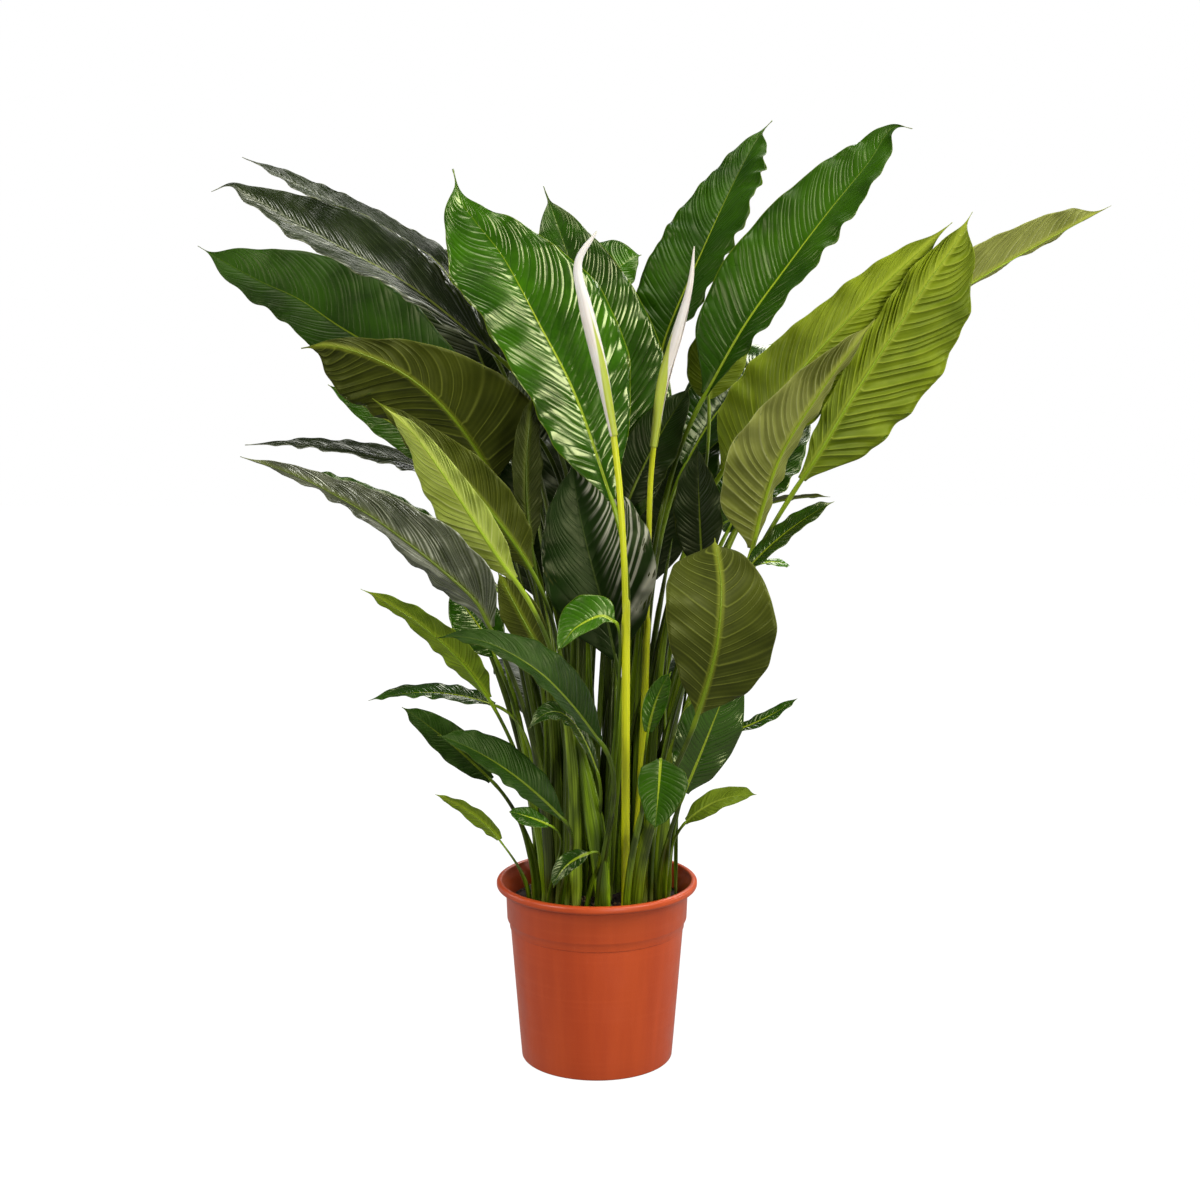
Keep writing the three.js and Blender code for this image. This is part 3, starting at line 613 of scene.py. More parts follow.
def upper_material(tone):
    *shades, gloss = TONES[tone]
    dark, light, _, _, _, rib = (colour(*c) for c in shades)
    shader = Shader("leaf_upper_" + tone)
    across = shader.math("ABSOLUTE", shader.attribute("across"))
    lateral = shader.math("ABSOLUTE", shader.attribute("lateral"))
    along = shader.attribute("along")
    base = shader.mix(shader.ramp(shader.noise(14, 4, 0.6), 0.3, 0.7), dark, light)
    # Darker towards the foot: painted shade, where the blade goes in among the other leaves.
    base = shader.mix(shader.ramp(along, 0.0, 0.6, 0.7, 0.0), base, dark)
    fine = shader.noise(420, 2, 0.5)
    base = shader.mix(shader.ramp(fine, 0.35, 0.75, 0.0, 0.25), base, light)
    # On the silver and slate tones, pale streaks beside the veins, stronger over one side of the blade, are
    # painted highlights.
    if tone in PAINTED_HIGHLIGHT_WIDTHS:
        place, low, high, least = PAINTED_HIGHLIGHT_PLACES[tone]
        painted_highlight = vein_mask(shader, 1, PAINTED_HIGHLIGHT_WIDTHS[tone])
        painted_highlight = shader.times(painted_highlight, shader.ramp(shader.noise(14, 3), 0.4, 0.54, 0.15, 1.0))
        painted_highlight = shader.times(painted_highlight, shader.ramp(shader.attribute(place), low, high, least, 1.0))
        base = shader.mix(painted_highlight, base, colour(*shades[4]))
    # Darker along the side veins: painted shade in their sunken grooves.
    base = shader.mix(shader.times(vein_mask(shader, 1, 0.1), 0.5), base, dark)
    rib_width = shader.ramp(along, 0.0, 0.9, 0.0021, 0.0004)
    near_rib = shader.math("SUBTRACT", 1, shader.math("DIVIDE", lateral, rib_width), clamp=True)
    fading = shader.ramp(along, 0.45, 0.9, 1.0, 0.25)
    near_rib = shader.times(shader.ramp(near_rib, 0.0, 0.5), fading)
    base = shader.mix(near_rib, base, rib)
    base = shader.mix(shader.ramp(across, 0.975, 1.0, 0.0, 0.4), base, rib)
    shader.set("Specular IOR Level", 0.8 if gloss < 0.3 else 0.25)
    shader.set("Specular Tint", (1, 1, 0.9, 1) if tone == "silver" else (0.95, 1, 0.5, 1))
    rough = shader.ramp(shader.noise(60, 3), 0.3, 0.7, gloss - 0.03, gloss + 0.06)
    height = shader.times(vein_mask(shader, 1, 0.14), -0.4)
    height = shader.plus(height, shader.times(vein_mask(shader, 2, 0.4), -0.05))
    height = shader.plus(height, shader.times(shader.noise(500, 2), 0.03))
    return shader.finished(base, rough, height, 0.0006, 0.6)


def lower_material(tone):
    _, _, dark, light, vein, rib = (colour(*c) for c in TONES[tone][:6])
    shader = Shader("leaf_lower_" + tone)
    across = shader.math("ABSOLUTE", shader.attribute("across"))
    lateral = shader.math("ABSOLUTE", shader.attribute("lateral"))
    base = shader.mix(shader.ramp(shader.noise(11, 4, 0.6), 0.3, 0.7), dark, light)
    # Darker towards the foot: painted shade, where the blade goes in among the other leaves.
    base = shader.mix(shader.ramp(shader.attribute("along"), 0.0, 0.55, 0.5, 0.0), base, dark)
    # On the silver tone the pale veins are widened and broken by noise into streaks: partly the real pale
    # veins, partly a painted silvery reflection.
    width, strength = (0.3, 0.2) if tone == "silver" else (0.08, 0.1)
    veins = shader.times(vein_mask(shader, 1, width), shader.ramp(across, 0.2, 0.95, 0.7, 0.2))
    if tone == "silver":
        veins = shader.times(veins, shader.ramp(shader.noise(22, 2), 0.42, 0.58, 0.05, 1.4))
    base = shader.mix(veins, base, vein)
    base = shader.mix(shader.times(vein_mask(shader, 3, 0.4), strength), base, vein)
    base = shader.mix(shader.ramp(lateral, 0.001, 0.006, 0.6, 0.0), base, rib)
    base = shader.mix(shader.ramp(across, 0.975, 1.0, 0.0, 0.6), base, vein)
    shader.set("Specular IOR Level", 0.8 if tone == "silver" else 0.35)
    shader.set("Specular Tint", (1, 1, 0.9, 1) if tone == "silver" else (0.95, 1, 0.4, 1))
    gloss = 0.2 if tone == "silver" else 0.42
    rough = shader.ramp(shader.noise(70, 3), 0.3, 0.7, gloss, gloss + 0.1)
    height = shader.times(vein_mask(shader, 1, 0.12), 0.7)
    height = shader.plus(height, shader.times(vein_mask(shader, 3, 0.4), 0.05))
    height = shader.plus(height, shader.times(shader.noise(500, 2), 0.04))
    return shader.finished(base, rough, height, 0.0005, 0.7)


def petiole_material(tone):
    red, green, blue = TONES[tone][5]
    rib = colour(0.84 * red, 0.93 * green, 0.5 * blue)
    shade = colour(0.26 * red, 0.34 * green, 0.15 * blue)
    shader = Shader("petiole_" + tone)
    along = shader.attribute("along")
    grain = along_grain(shader, 5, 2.5)
    base = shader.mix(shader.ramp(grain, 0.3, 0.7, 0.25, 0.9), shade, rib)
    # Some stems darker than their neighbours: painted shade among the stalks. The shade colour, a darker
    # green, is also the dark of the grain.
    painted_stem_shade = shader.noise(1, 2, vector=shader.stretched(50, 50, 4))
    base = shader.mix(shader.ramp(painted_stem_shade, 0.4, 0.58, 0.0, 0.9), base, shade)
    base = shader.mix(shader.ramp(along, -0.16, -0.02, 0.0, 0.8), base, rib)
    pale = colour(140, 150, 70)
    base = shader.mix(shader.ramp(along, -1.0, -0.93, 0.6, 0.0), base, pale)
    shader.set("Specular Tint", (0.95, 1, 0.5, 1))
    rough = shader.ramp(grain, 0.3, 0.7, 0.22, 0.36)
    return shader.finished(base, rough, along_grain(shader, 8, 3), 0.0002, 0.4)


# ---------------------------------------------------------------- meshes from grids


def unit(v):
    return v / np.maximum(np.linalg.norm(v, axis=-1, keepdims=True), 1e-12)


def bezier(points, t):
    """Points of a Bezier curve, and its unit tangents, at the parameters t."""
    layers = [np.repeat(np.asarray(p, float)[None], len(t), 0) for p in points]
    share = t[:, None]
    while len(layers) > 2:
        layers = [a + (b - a) * share for a, b in zip(layers, layers[1:])]
    a, b = layers
    return a + (b - a) * share, unit(b - a)


def curve_through(points, t):
    """Points and unit tangents of a smooth curve through the given points."""
    points = np.asarray(points, float)
    padded = np.concatenate([2 * points[:1] - points[1:2], points, 2 * points[-1:] - points[-2:-1]])
    place = np.clip(np.asarray(t) * (len(points) - 1), 0, len(points) - 1 - 1e-9)
    k = place.astype(int)
    u = (place - k)[:, None]
    a, b, c, d = (padded[k + n] for n in range(4))
    square, cube = 2 * a - 5 * b + 4 * c - d, 3 * b - a - 3 * c + d
    found = 0.5 * (2 * b + (c - a) * u + square * u**2 + cube * u**3)
    slope = 0.5 * ((c - a) + 2 * square * u + 3 * cube * u**2)
    return found, unit(slope)


def sides(tangents, upper):
    """Upper and right-hand directions at each tangent, for a given facing."""
    up = upper - (upper * tangents).sum(-1, keepdims=True) * tangents
    up = unit(up)
    return up, np.cross(tangents, up)


def smooth(x, low, high):
    y = np.clip((x - low) / (high - low), 0, 1)
    return y * y * (3 - 2 * y)


def spun(yaw):
    """Turns rows of points about the upright axis."""
    cos, sin = math.cos(yaw), math.sin(yaw)
    return np.array([[cos, sin, 0], [-sin, cos, 0], [0, 0, 1]])


def turns(count):
    """Evenly spaced angles of one full turn."""
    return np.linspace(0, 2 * math.pi, count, endpoint=False)


def rings(points, side, up, wide, tall):
    """Points round a curve, so far to its side and so far up from it."""
    return points[:, None] + side[:, None] * wide[..., None] + up[:, None] * tall[..., None]


def stem_values(along, angles):
    """The mesh values that a round stem's grain follows."""
    return {"along": along[:, None], "across": np.cos(angles)[None], "turn": np.sin(angles)[None]}


# The values that a plant's meshes carry for their materials. across and along run over a blade or
# a stem, lateral is metres from the midrib, vein counts the side veins, turn is round a stem.
GROWN = ("across", "along", "lateral", "vein", "turn")


class Skin:
    """Gathers vertices, faces, material numbers and point attributes of one closed mesh."""

    def __init__(self, names=()):
        self.points, self.faces, self.slots = [], [], []
        self.values = {name: [] for name in names}
        self.count = 0

    def add(self, grid, slot, loop=False, values=None):
        """A grid of points, joined by faces; loop joins its last column to its first."""
        rows, columns = grid.shape[:2]
        first = self.count
        self.points.append(grid.reshape(-1, 3))
        for name, store in self.values.items():
            value = (values or {}).get(name, 0.0)
            store.append(np.broadcast_to(value, (rows, columns)).reshape(-1))
        self.count += rows * columns
        index = first + np.arange(rows * columns).reshape(rows, columns)
        a, b = index[:-1], index[1:]
        if loop:
            right_a, right_b = np.roll(a, -1, 1), np.roll(b, -1, 1)
        else:
            a, b, right_a, right_b = a[:, :-1], b[:, :-1], a[:, 1:], b[:, 1:]
        quads = np.stack([a, right_a, right_b, b], -1).reshape(-1, 4)
        self.faces.append(quads)
        self.slots.append(np.full(len(quads), slot))
        return index

    def join(self, one, other, slot):
        """Faces between two equal rows of points."""
        quads = np.stack([one[:-1], one[1:], other[1:], other[:-1]], -1).reshape(-1, 4)
        self.faces.append(quads)
        self.slots.append(np.full(len(quads), slot))

    def cap(self, ring, slot, flip=False):
        """Closes a ring of points with a fan round its own middle."""
        pool = np.concatenate(self.points)
        centre = self.count
        self.points.append(pool[ring].mean(0)[None])
        for store in self.values.values():
            store.append(np.concatenate(store)[ring[:1]])
        self.count += 1
        following = np.roll(ring, -1)
        fan = [ring, following] if not flip else [following, ring]
        quads = np.stack([fan[0], fan[1], np.full(len(ring), centre), np.full(len(ring), -1)], -1)
        self.faces.append(quads)
        self.slots.append(np.full(len(quads), slot))

    def tube(self, ring, slot, values=None, clockwise=False):
        """Rings joined into a closed tube. Its faces look outwards, so it has to be told when
        the rings run clockwise as seen from its last one."""
        index = self.add(ring, slot, loop=True, values=values)
        if clockwise:
            self.faces[-1] = self.faces[-1][:, [0, 3, 2, 1]]
        self.cap(index[0], slot, flip=not clockwise)
        self.cap(index[-1], slot, flip=clockwise)

    def build(self, name, materials):
        mesh = bpy.data.meshes.new(name)
        points = np.concatenate(self.points) * MM
        faces = np.concatenate(self.faces)
        slots = np.concatenate(self.slots)
        sizes = np.where(faces[:, 3] < 0, 3, 4)
        loops = faces.reshape(-1)
        loops = loops[loops >= 0]
        mesh.vertices.add(len(points))
        mesh.vertices.foreach_set("co", points.astype(np.float32).ravel())
        mesh.loops.add(len(loops))
        mesh.loops.foreach_set("vertex_index", loops.astype(np.int32))
        mesh.polygons.add(len(faces))
        starts = np.concatenate([[0], np.cumsum(sizes)[:-1]])
        mesh.polygons.foreach_set("loop_start", starts.astype(np.int32))
        mesh.polygons.foreach_set("material_index", slots.astype(np.int32))
        mesh.polygons.foreach_set("use_smooth", np.full(len(faces), True))
        for key, store in self.values.items():
            layer = mesh.attributes.new(key, "FLOAT", "POINT")
            layer.data.foreach_set("value", np.concatenate(store).astype(np.float32))
        mesh.update(calc_edges=True)
        mesh.validate()
        for made in materials:
            mesh.materials.append(made)
        piece = bpy.data.objects.new(name, mesh)
        bpy.context.scene.collection.objects.link(piece)
        return piece


def settle(piece, slot, *nodes):
    """Every piece rides the one body; it names the nodes that it stands for. slot, its finish, is not used.
    """
    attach(piece, "root")
    if nodes:
        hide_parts(*nodes)


# ---------------------------------------------------------------- leaves

# How blades and petioles are drawn. DRIP_WIDTH, BLADE_THICKNESS, LEAST_VEIN_SPACING and ROOT_DEPTH
# are mm, the tapers are powers, and the other numbers are shares of a size or counts.
ARCH = 0.16
BASE_TAPER = 0.7
TIP_TAPER = 0.85
DRIP_TIP = 0.95
DRIP_FROM = 0.88
DRIP_WIDTH = 5
TIP_FOLD_DEGREES = 20
BLADE_THICKNESS = 0.5
EDGE_THINNING = 0.6
QUILT_HEIGHT = 0.16
VEIN_SPACING = 0.062
LEAST_VEIN_SPACING = 5
PETIOLE_RISE = 0.4
PETIOLE_BEND = 0.28
FOOT_SWELL = 1.45
JOINT_SWELL = 0.14
ROOT_DEPTH = 14
TUBE_SIDES = 16
ROWS_PER_VEIN = 6
COLUMNS = 23
HALF_STATIONS = (0.15, 0.35, 0.55, 0.75, 0.9)

# The rolled young leaves: how many, how far out they stand, their heights and their girths. The
# profiles give a radius at each share of the length.
SPEAR_COUNT = 44
SPEAR_REACH = 80
SPEAR_HEIGHTS = (230, 480)
SPEAR_GIRTHS = (3.2, 4.8)
SPEAR_PROFILE = [(0, 1.3), (0.5, 0.85), (0.8, 0.8), (0.95, 0.35), (1, 0.06)]
FRONT_SPEAR = [(0, 6.5), (0.3, 9), (0.55, 11), (0.75, 7.5), (0.92, 4), (1, 0.6)]


def blade_shape(t):
    """The blade's width beside its greatest, from its foot (0) to its tip (1)."""

    def shape(x):
        return x**BASE_TAPER * (1 - x) ** TIP_TAPER

    return shape(np.clip(t / DRIP_TIP, 0, 1)) / shape(BASE_TAPER / (BASE_TAPER + TIP_TAPER))


def half_width(t, widths):
    """Half the blade's width from a few widths, in mm, at HALF_STATIONS along its midrib."""
    dense = np.linspace(0, 1, 201)
    drawn = np.interp(dense, (0, *HALF_STATIONS, DRIP_TIP, 1), (0, *widths, 0, 0))
    kernel = np.hanning(23) / np.hanning(23).sum()
    drawn = np.convolve(np.pad(drawn, 11, mode="edge"), kernel, "valid")
    return np.interp(t, dense, drawn)


class Leaf:
    """One leaf: a row of the table, and what single leaves have of their own."""

    def __init__(self, row, looks):
        self.name, soil, foot, middle, tip, self.width, face, fold, self.radius = row
        self.soil = np.array(soil, float)
        self.foot, self.tip = np.array(foot, float), np.array(tip, float)
        self.control = 2 * np.array(middle, float) - (self.foot + self.tip) / 2
        self.face = unit(np.array(face, float))
        self.fold = looks.get("fold", (fold, fold))
        self.halves = looks.get("left"), looks.get("right")
        self.tone = looks.get("tone", "deep")
        self.drip = looks.get("drip", DRIP_WIDTH)
        self.wave = looks.get("wave", 0.4 + 0.02 * self.width)
        self.wave_length = looks.get("wave_length", 26 + 0.24 * self.width)
        self.quilt = looks.get("quilt", (0.8, 0.8, 0.8, 0.8))
        self.path = looks.get("path")
        self.curl = np.array(looks.get("curl", (0, 0, 0)), float)
        self.bend = looks.get("bend", PETIOLE_BEND)
        self.sweep = looks.get("sweep", 0)
        self.vein_spacing = looks.get("veins", max(LEAST_VEIN_SPACING, VEIN_SPACING * self.width))
        self.random = np.random.default_rng(sum(ord(letter) * 7 for letter in self.name))
        self.relief = self.random.uniform(0.35, 1.35, (2, 400))
        along = self.run(np.linspace(0, 1, 60))
        self.length = np.linalg.norm(np.diff(along, axis=0), axis=1).sum()

    def run(self, t):
        """Points of the midrib. A path through points of its own bends more than one arc can."""
        if self.path is None:
            points = bezier((self.foot, self.control, self.tip), t)[0]
        else:
            dense = curve_through([self.foot, *self.path, self.tip], np.linspace(0, 1, 200))[0]
            gone = np.concatenate([[0], np.cumsum(np.linalg.norm(np.diff(dense, axis=0), axis=1))])
            points = np.stack([np.interp(t, gone / gone[-1], dense[:, k]) for k in range(3)], -1)
        return points + self.curl * (smooth(t, 0.9, 1.0) ** 1.5)[:, None]

    def midrib(self, t):
        """The midrib's points, its tangents, and the directions of its upper side and its right."""
        t = np.asarray(t, float)
        points = self.run(t)
        tangents = unit(np.gradient(points, t, axis=0))
        up, side = sides(tangents, self.face)
        return points, tangents, up, side

    def lift(self, t, s, lateral, vein):
        """How far the blade stands above the plane of its half."""
        share = np.abs(lateral) / (self.width / 2)
        bulge = np.abs(np.sin(math.pi * vein)) ** 0.75 - 0.55
        own = self.relief[(s > 0).astype(int), np.clip(vein, 0, 399).astype(int)]
        bulge = bulge * own + 0.25 * (own - 0.85) * np.sin(math.pi * vein) ** 2
        inside = smooth(np.abs(lateral), 0.8, 0.09 * self.width)
        inside = inside * (1 - 0.8 * smooth(np.abs(s), 0.78, 1))
        ends = smooth(t, 0.02, 0.12) * (1 - smooth(t, 0.86, 0.96))
        near_left, far_left, near_right, far_right = self.quilt
        on_left = near_left + (far_left - near_left) * t
        on_right = near_right + (far_right - near_right) * t
        depth = np.where(s < 0, on_left, on_right)
        quilt = QUILT_HEIGHT * self.vein_spacing * depth * bulge * inside * ends
        travel = 2 * math.pi * t * self.length / self.wave_length
        wave = np.zeros_like(t)
        for half in (-1, 1):
            a, b, c = self.random.uniform(0, 2 * math.pi, 3)
            run = np.sin(travel + a + 1.4 * np.sin(0.31 * travel + b)) + 0.5 * np.sin(1.7 * travel + c)
            wave = np.where(s * half > 0, run, wave)
        wave = wave * np.abs(s) ** 2.2 * self.wave * smooth(t, 0.03, 0.2)
        wave = wave * (1 - 0.7 * smooth(t, 0.85, 0.97))
        gutter = -0.35 * self.radius * np.exp(-((lateral / (1.2 * self.radius)) ** 2)) * (1 - t)
        return quilt + wave + gutter - ARCH * self.width / 2 * share**2

    def surface(self):
        """The middle of the blade's thickness. Its rows run out along the side veins, to the tip."""
        veins = self.length / self.vein_spacing
        rows = int(veins * ROWS_PER_VEIN)
        along = np.linspace(0, 1, rows)
        spread = np.linspace(-1, 1, COLUMNS)
        spread = np.sign(spread) * np.abs(spread) ** 0.9
        Q, S = np.meshgrid(along, spread, indexing="ij")
        lead = min(self.width / (2 * self.length), 0.19) * (0.75 * np.abs(S) + 0.4 * S**2)
        T = Q + lead * 4 * Q * (1 - Q)
        if self.sweep:
            lead = self.sweep * (0.65 * np.abs(S) + 0.35 * S**2)
            T = Q + lead * (1 - Q) * (1 - np.exp(-Q / 0.08))
        points, _, up, side = self.midrib(along)

        def at(values):
            return np.stack([np.interp(T, along, values[:, k]) for k in range(3)], -1)

        half = self.width / 2 * blade_shape(T)
        for turned, widths in zip((S < 0, S >= 0), self.halves):
            if widths:
                half = np.where(turned, half_width(T, widths), half)
        drip = self.drip * np.clip((1 - T) / (1 - DRIP_FROM), 0, 1) ** 1.2
        stem = 0.8 * self.radius * (1 - smooth(T, 0.0, 0.15))
        half = np.maximum(np.maximum(np.sqrt(half**2 + drip**2), stem), 0.3)
        lateral = S * half
        warped = Q * veins + 0.22 * np.sin(2.1 * Q * veins + 1.3 * np.sign(S))
        warped = warped + 0.15 * np.sin(0.83 * Q * veins + S)
        height = self.lift(T, S, lateral, warped)
        fold = np.radians(np.where(S < 0, *self.fold) + TIP_FOLD_DEGREES * smooth(T, 0.88, 1.0))
        run = lateral * np.cos(fold) - height * np.sign(S) * np.sin(fold)
        rise = np.abs(lateral) * np.sin(fold) + height * np.cos(fold)
        middle = at(points) + unit(at(side)) * run[..., None] + unit(at(up)) * rise[..., None]
        values = {"across": S, "along": T, "lateral": lateral * MM, "vein": warped, "turn": 0.0 * S}
        return middle, values

    def blade(self, skin):
        middle, values = self.surface()
        normal = unit(np.cross(np.gradient(middle, axis=1), np.gradient(middle, axis=0)))
        edge = smooth(np.abs(values["across"]), 0.9, 1)
        thick = BLADE_THICKNESS / 2 * (1 - EDGE_THINNING * edge)[..., None]
        top = skin.add(middle + normal * thick, 0, values=values)
        flipped = {key: value[:, ::-1] for key, value in values.items()}
        low = skin.add((middle - normal * thick)[:, ::-1], 1, values=flipped)[:, ::-1]
        skin.join(top[:, 0], low[:, 0], 1)
        skin.join(low[:, -1], top[:, -1], 1)
        skin.join(low[0], top[0], 1)
        skin.join(top[-1], low[-1], 1)

    def petiole(self, skin):
        """The stalk out of the soil, and the midrib that it runs on as, under the blade."""
        start = np.array([self.soil[0], self.soil[1], SOIL_TOP])
        reach = np.linalg.norm(self.foot - start)
        rib_t = np.linspace(0, 0.97, 80)
        rib_points, rib_tangents, rib_up, rib_side = self.midrib(rib_t)
        rise = start + np.array([0, 0, reach * PETIOLE_RISE])
        bend = self.foot - rib_tangents[0] * reach * self.bend
        stem_t = np.linspace(0, 1, 56)[:-1]
        points, tangents = bezier((start, rise, bend, self.foot), stem_t)
        up, side = np.empty_like(points), np.empty_like(points)
        last = rib_up[0]
        for k in range(len(points) - 1, -1, -1):
            last = unit(last - (last @ tangents[k]) * tangents[k])
            up[k], side[k] = last, np.cross(tangents[k], last)
        points = np.concatenate([(start - [0, 0, ROOT_DEPTH])[None], points, rib_points])
        up = np.concatenate([up[:1], up, rib_up])
        side = np.concatenate([side[:1], side, rib_side])
        along = np.concatenate([[-1.02], stem_t - 1, rib_t])
        stem = np.minimum(along, 0) + 1
        swell = FOOT_SWELL + (0.8 - FOOT_SWELL) * smooth(stem, 0, 1)
        rib = 0.8 * (1 - np.clip(along, 0, 1)) ** 0.9
        radius = self.radius * np.where(along < 0, swell, rib)
        joint = JOINT_SWELL * self.radius * np.exp(-(((along + 0.05) / 0.04) ** 2))
        radius = np.maximum(radius + joint, 0.16)
        sheath = smooth(stem, 0.0, 0.08) * (1 - smooth(stem, 0.35, 0.62))
        sunk = smooth(along, -0.02, 0.04)
        angles = turns(TUBE_SIDES)
        notch = np.exp(-(((angles - math.pi / 2) / 0.55) ** 2))[None]
        depth = 0.3 * (1 - sunk) + 0.75 * sheath
        tall = radius[:, None] * np.sin(angles)[None] * (1 - notch * depth[:, None])
        wide = (radius * (1 + 0.75 * sheath))[:, None] * np.cos(angles)[None]
        flat = np.where(np.sin(angles)[None] > 0, 1 - 0.7 * sunk[:, None], 1.0)
        drop = -0.5 * radius * sunk
        ring = rings(points, side, up, wide, tall * flat + drop[:, None])
        skin.tube(ring, 2, stem_values(along, angles), clockwise=True)

    def make(self, materials):
        skin = Skin(GROWN)
        self.blade(skin)
        self.petiole(skin)
        return skin.build("blade_" + self.name, materials)


def spear(skin, start, end, rise, profile):
    """A young leaf, still rolled up, from start to end; profile gives its radius up its length."""
    start, end = np.array(start, float), np.array(end, float)
    t = np.linspace(0, 1, 60)
    points, tangents = bezier((start, start + [0, 0, rise * (end[2] - start[2])], end), t)
    up, side = carried_frames(tangents, (0.1, -1, 0))
    radius = np.interp(t, *zip(*profile))
    angles = turns(20)
    roll = ((angles[None] + 5 * t[:, None] + end[0]) / (2 * math.pi)) % 1
    ring_radius = radius[:, None] * (1 + 0.16 * roll)
    wide, tall = ring_radius * np.cos(angles)[None], 0.8 * ring_radius * np.sin(angles)[None]
    ring = rings(points, side, up, wide, tall)
    skin.tube(ring, 0, stem_values(t - 1.02, angles), clockwise=True)


def make_spears(materials):
    """Rolled young leaves among the petioles, behind the middle of the pot, and one in front."""
    random = np.random.default_rng(7)
    skins = [Skin(GROWN), Skin(GROWN)]
    foot = SOIL_TOP - ROOT_DEPTH
    for k in range(SPEAR_COUNT):
        angle = math.radians(random.uniform(5, 175))
        reach = SPEAR_REACH * math.sqrt((k + 0.5) / SPEAR_COUNT)
        out = np.array([math.cos(angle), math.sin(angle), 0])
        across = np.array([-out[1], out[0], 0])
        start = out * reach + [0, 0, foot]
        height = random.uniform(*SPEAR_HEIGHTS)
        lean = random.uniform(0.1, 0.3) * height * reach / 70
        end = start + out * lean + across * random.uniform(-0.12, 0.12) * height + [0, 0, height]
        girth = random.uniform(*SPEAR_GIRTHS)
        profile = [(t, share * girth) for t, share in SPEAR_PROFILE]
        spear(skins[k % 2], start, end, 0.5, profile)
    spear(skins[1], (8, -84, foot), (-27, -92, 430), 0.45, FRONT_SPEAR)
    for k, skin in enumerate(skins):
        settle(skin.build("young_spears_%d" % (k + 1), [materials[k]]), "leaf")


def make_leaves():
    makers = (upper_material, lower_material, petiole_material)
    sets = {tone: [make(tone) for make in makers] for tone in TONES}
    for row in LEAVES:
        leaf = Leaf(row, LEAF_LOOKS.get(row[0], {}))
        settle(leaf.make(sets[leaf.tone]), "leaf", "leaf_" + leaf.name)
    for row in SLIPS:
        leaf = Leaf(row, LEAF_LOOKS.get(row[0], {"tone": "young"}))
        settle(leaf.make(sets[leaf.tone]), "leaf")
    # Half the rolled young leaves take the shade tone's stalk colours, painted shade among the stalks.
    make_spears([sets["shade"][2], sets["young"][2]])


# ---------------------------------------------------------------- flowers


def carried_frames(tangents, first_up):
    """Upper and right-hand directions carried along a curve without twisting."""
    up = np.empty_like(tangents)
    last = np.array(first_up, float)
    for k, tangent in enumerate(tangents):
        last = unit(last - (last @ tangent) * tangent)
        up[k] = last
    return up, np.cross(tangents, up)


def stalk_material():
    shader = Shader("flower_stalk")
    along = shader.attribute("along")
    grain = along_grain(shader, 4, 3)
    bright = shader.mix(shader.ramp(grain, 0.35, 0.65), colour(200, 206, 8), colour(224, 226, 18))
    dark = shader.mix(shader.ramp(grain, 0.35, 0.65), colour(150, 164, 8), colour(180, 190, 14))
    base = shader.mix(shader.ramp(shader.noise(6, 2), 0.4, 0.6, 0.0, 0.3), bright, dark)
    base = shader.mix(shader.ramp(along, 0.9, 1.0, 0.0, 0.8), base, colour(196, 200, 36))
    rough = shader.ramp(grain, 0.3, 0.7, 0.3, 0.42)
    return shader.finished(base, rough, along_grain(shader, 16, 4), 0.0004, 0.4)


def spathe_material():
    shader = Shader("spathe_white")
    across = shader.attribute("across")
    along = shader.attribute("along")
    lines = along_grain(shader, 22, 1.2)
    white = shader.mix(shader.ramp(lines, 0.3, 0.7), colour(226, 220, 208), colour(240, 237, 228))
    # Cream-pink patches at random over the white: painted shade, in the colour of the spathe's shaded side.
    cream_pink_shade = shader.ramp(shader.noise(20, 3), 0.35, 0.65, 0.0, 0.5)
    white = shader.mix(cream_pink_shade, white, colour(232, 212, 196))
    keel = shader.math("ABSOLUTE", across)
    reach = shader.times(shader.ramp(along, 0.0, 0.55, 1.0, 0.0), shader.attribute("turn"))
    wedge = shader.math("SUBTRACT", reach, keel)
    green = shader.ramp(wedge, -0.02, 0.06)
    base = shader.mix(green, white, colour(176, 188, 56))
    base = shader.mix(shader.ramp(along, 0.97, 1.0, 0.0, 0.4), base, colour(150, 160, 90))
    shader.set("Subsurface Weight", 0.2)
    shader.set("Subsurface Radius", (1.0, 0.9, 0.7))
    shader.set("Subsurface Scale", 0.002)
    return shader.finished(base, 0.42, lines, 0.0004, 0.5)


def spadix_material():
    shader = Shader("spadix_cream")
    bumps = shader.attribute("lateral")
    # Lighter on the bumps and darker between them: painted shade in the hollows.
    base = shader.mix(shader.ramp(bumps, 0.0, 1.0), colour(196, 190, 120), colour(236, 230, 190))
    return shader.finished(base, 0.6, shader.noise(1500, 2), 0.0002, 0.6)


# A spathe's half turn in degrees, its wall and length in mm, where it starts below the stalk's end,
# and how far it spirals out and frills.
SPATHE_HALF_ROLL = 205
SPATHE_WALL = 0.6
SPATHE_LENGTH = 215
SPATHE_FOOT = -0.035
SPATHE_SPIRAL = 0.13
SPATHE_FRILL = 0.05
# The share of the spathe's length that the spadix fills, and its rings of bumps and their height.
SPADIX_SHARE = 70 / 216
SPADIX_RINGS = 24
SPADIX_BUMP = 0.45


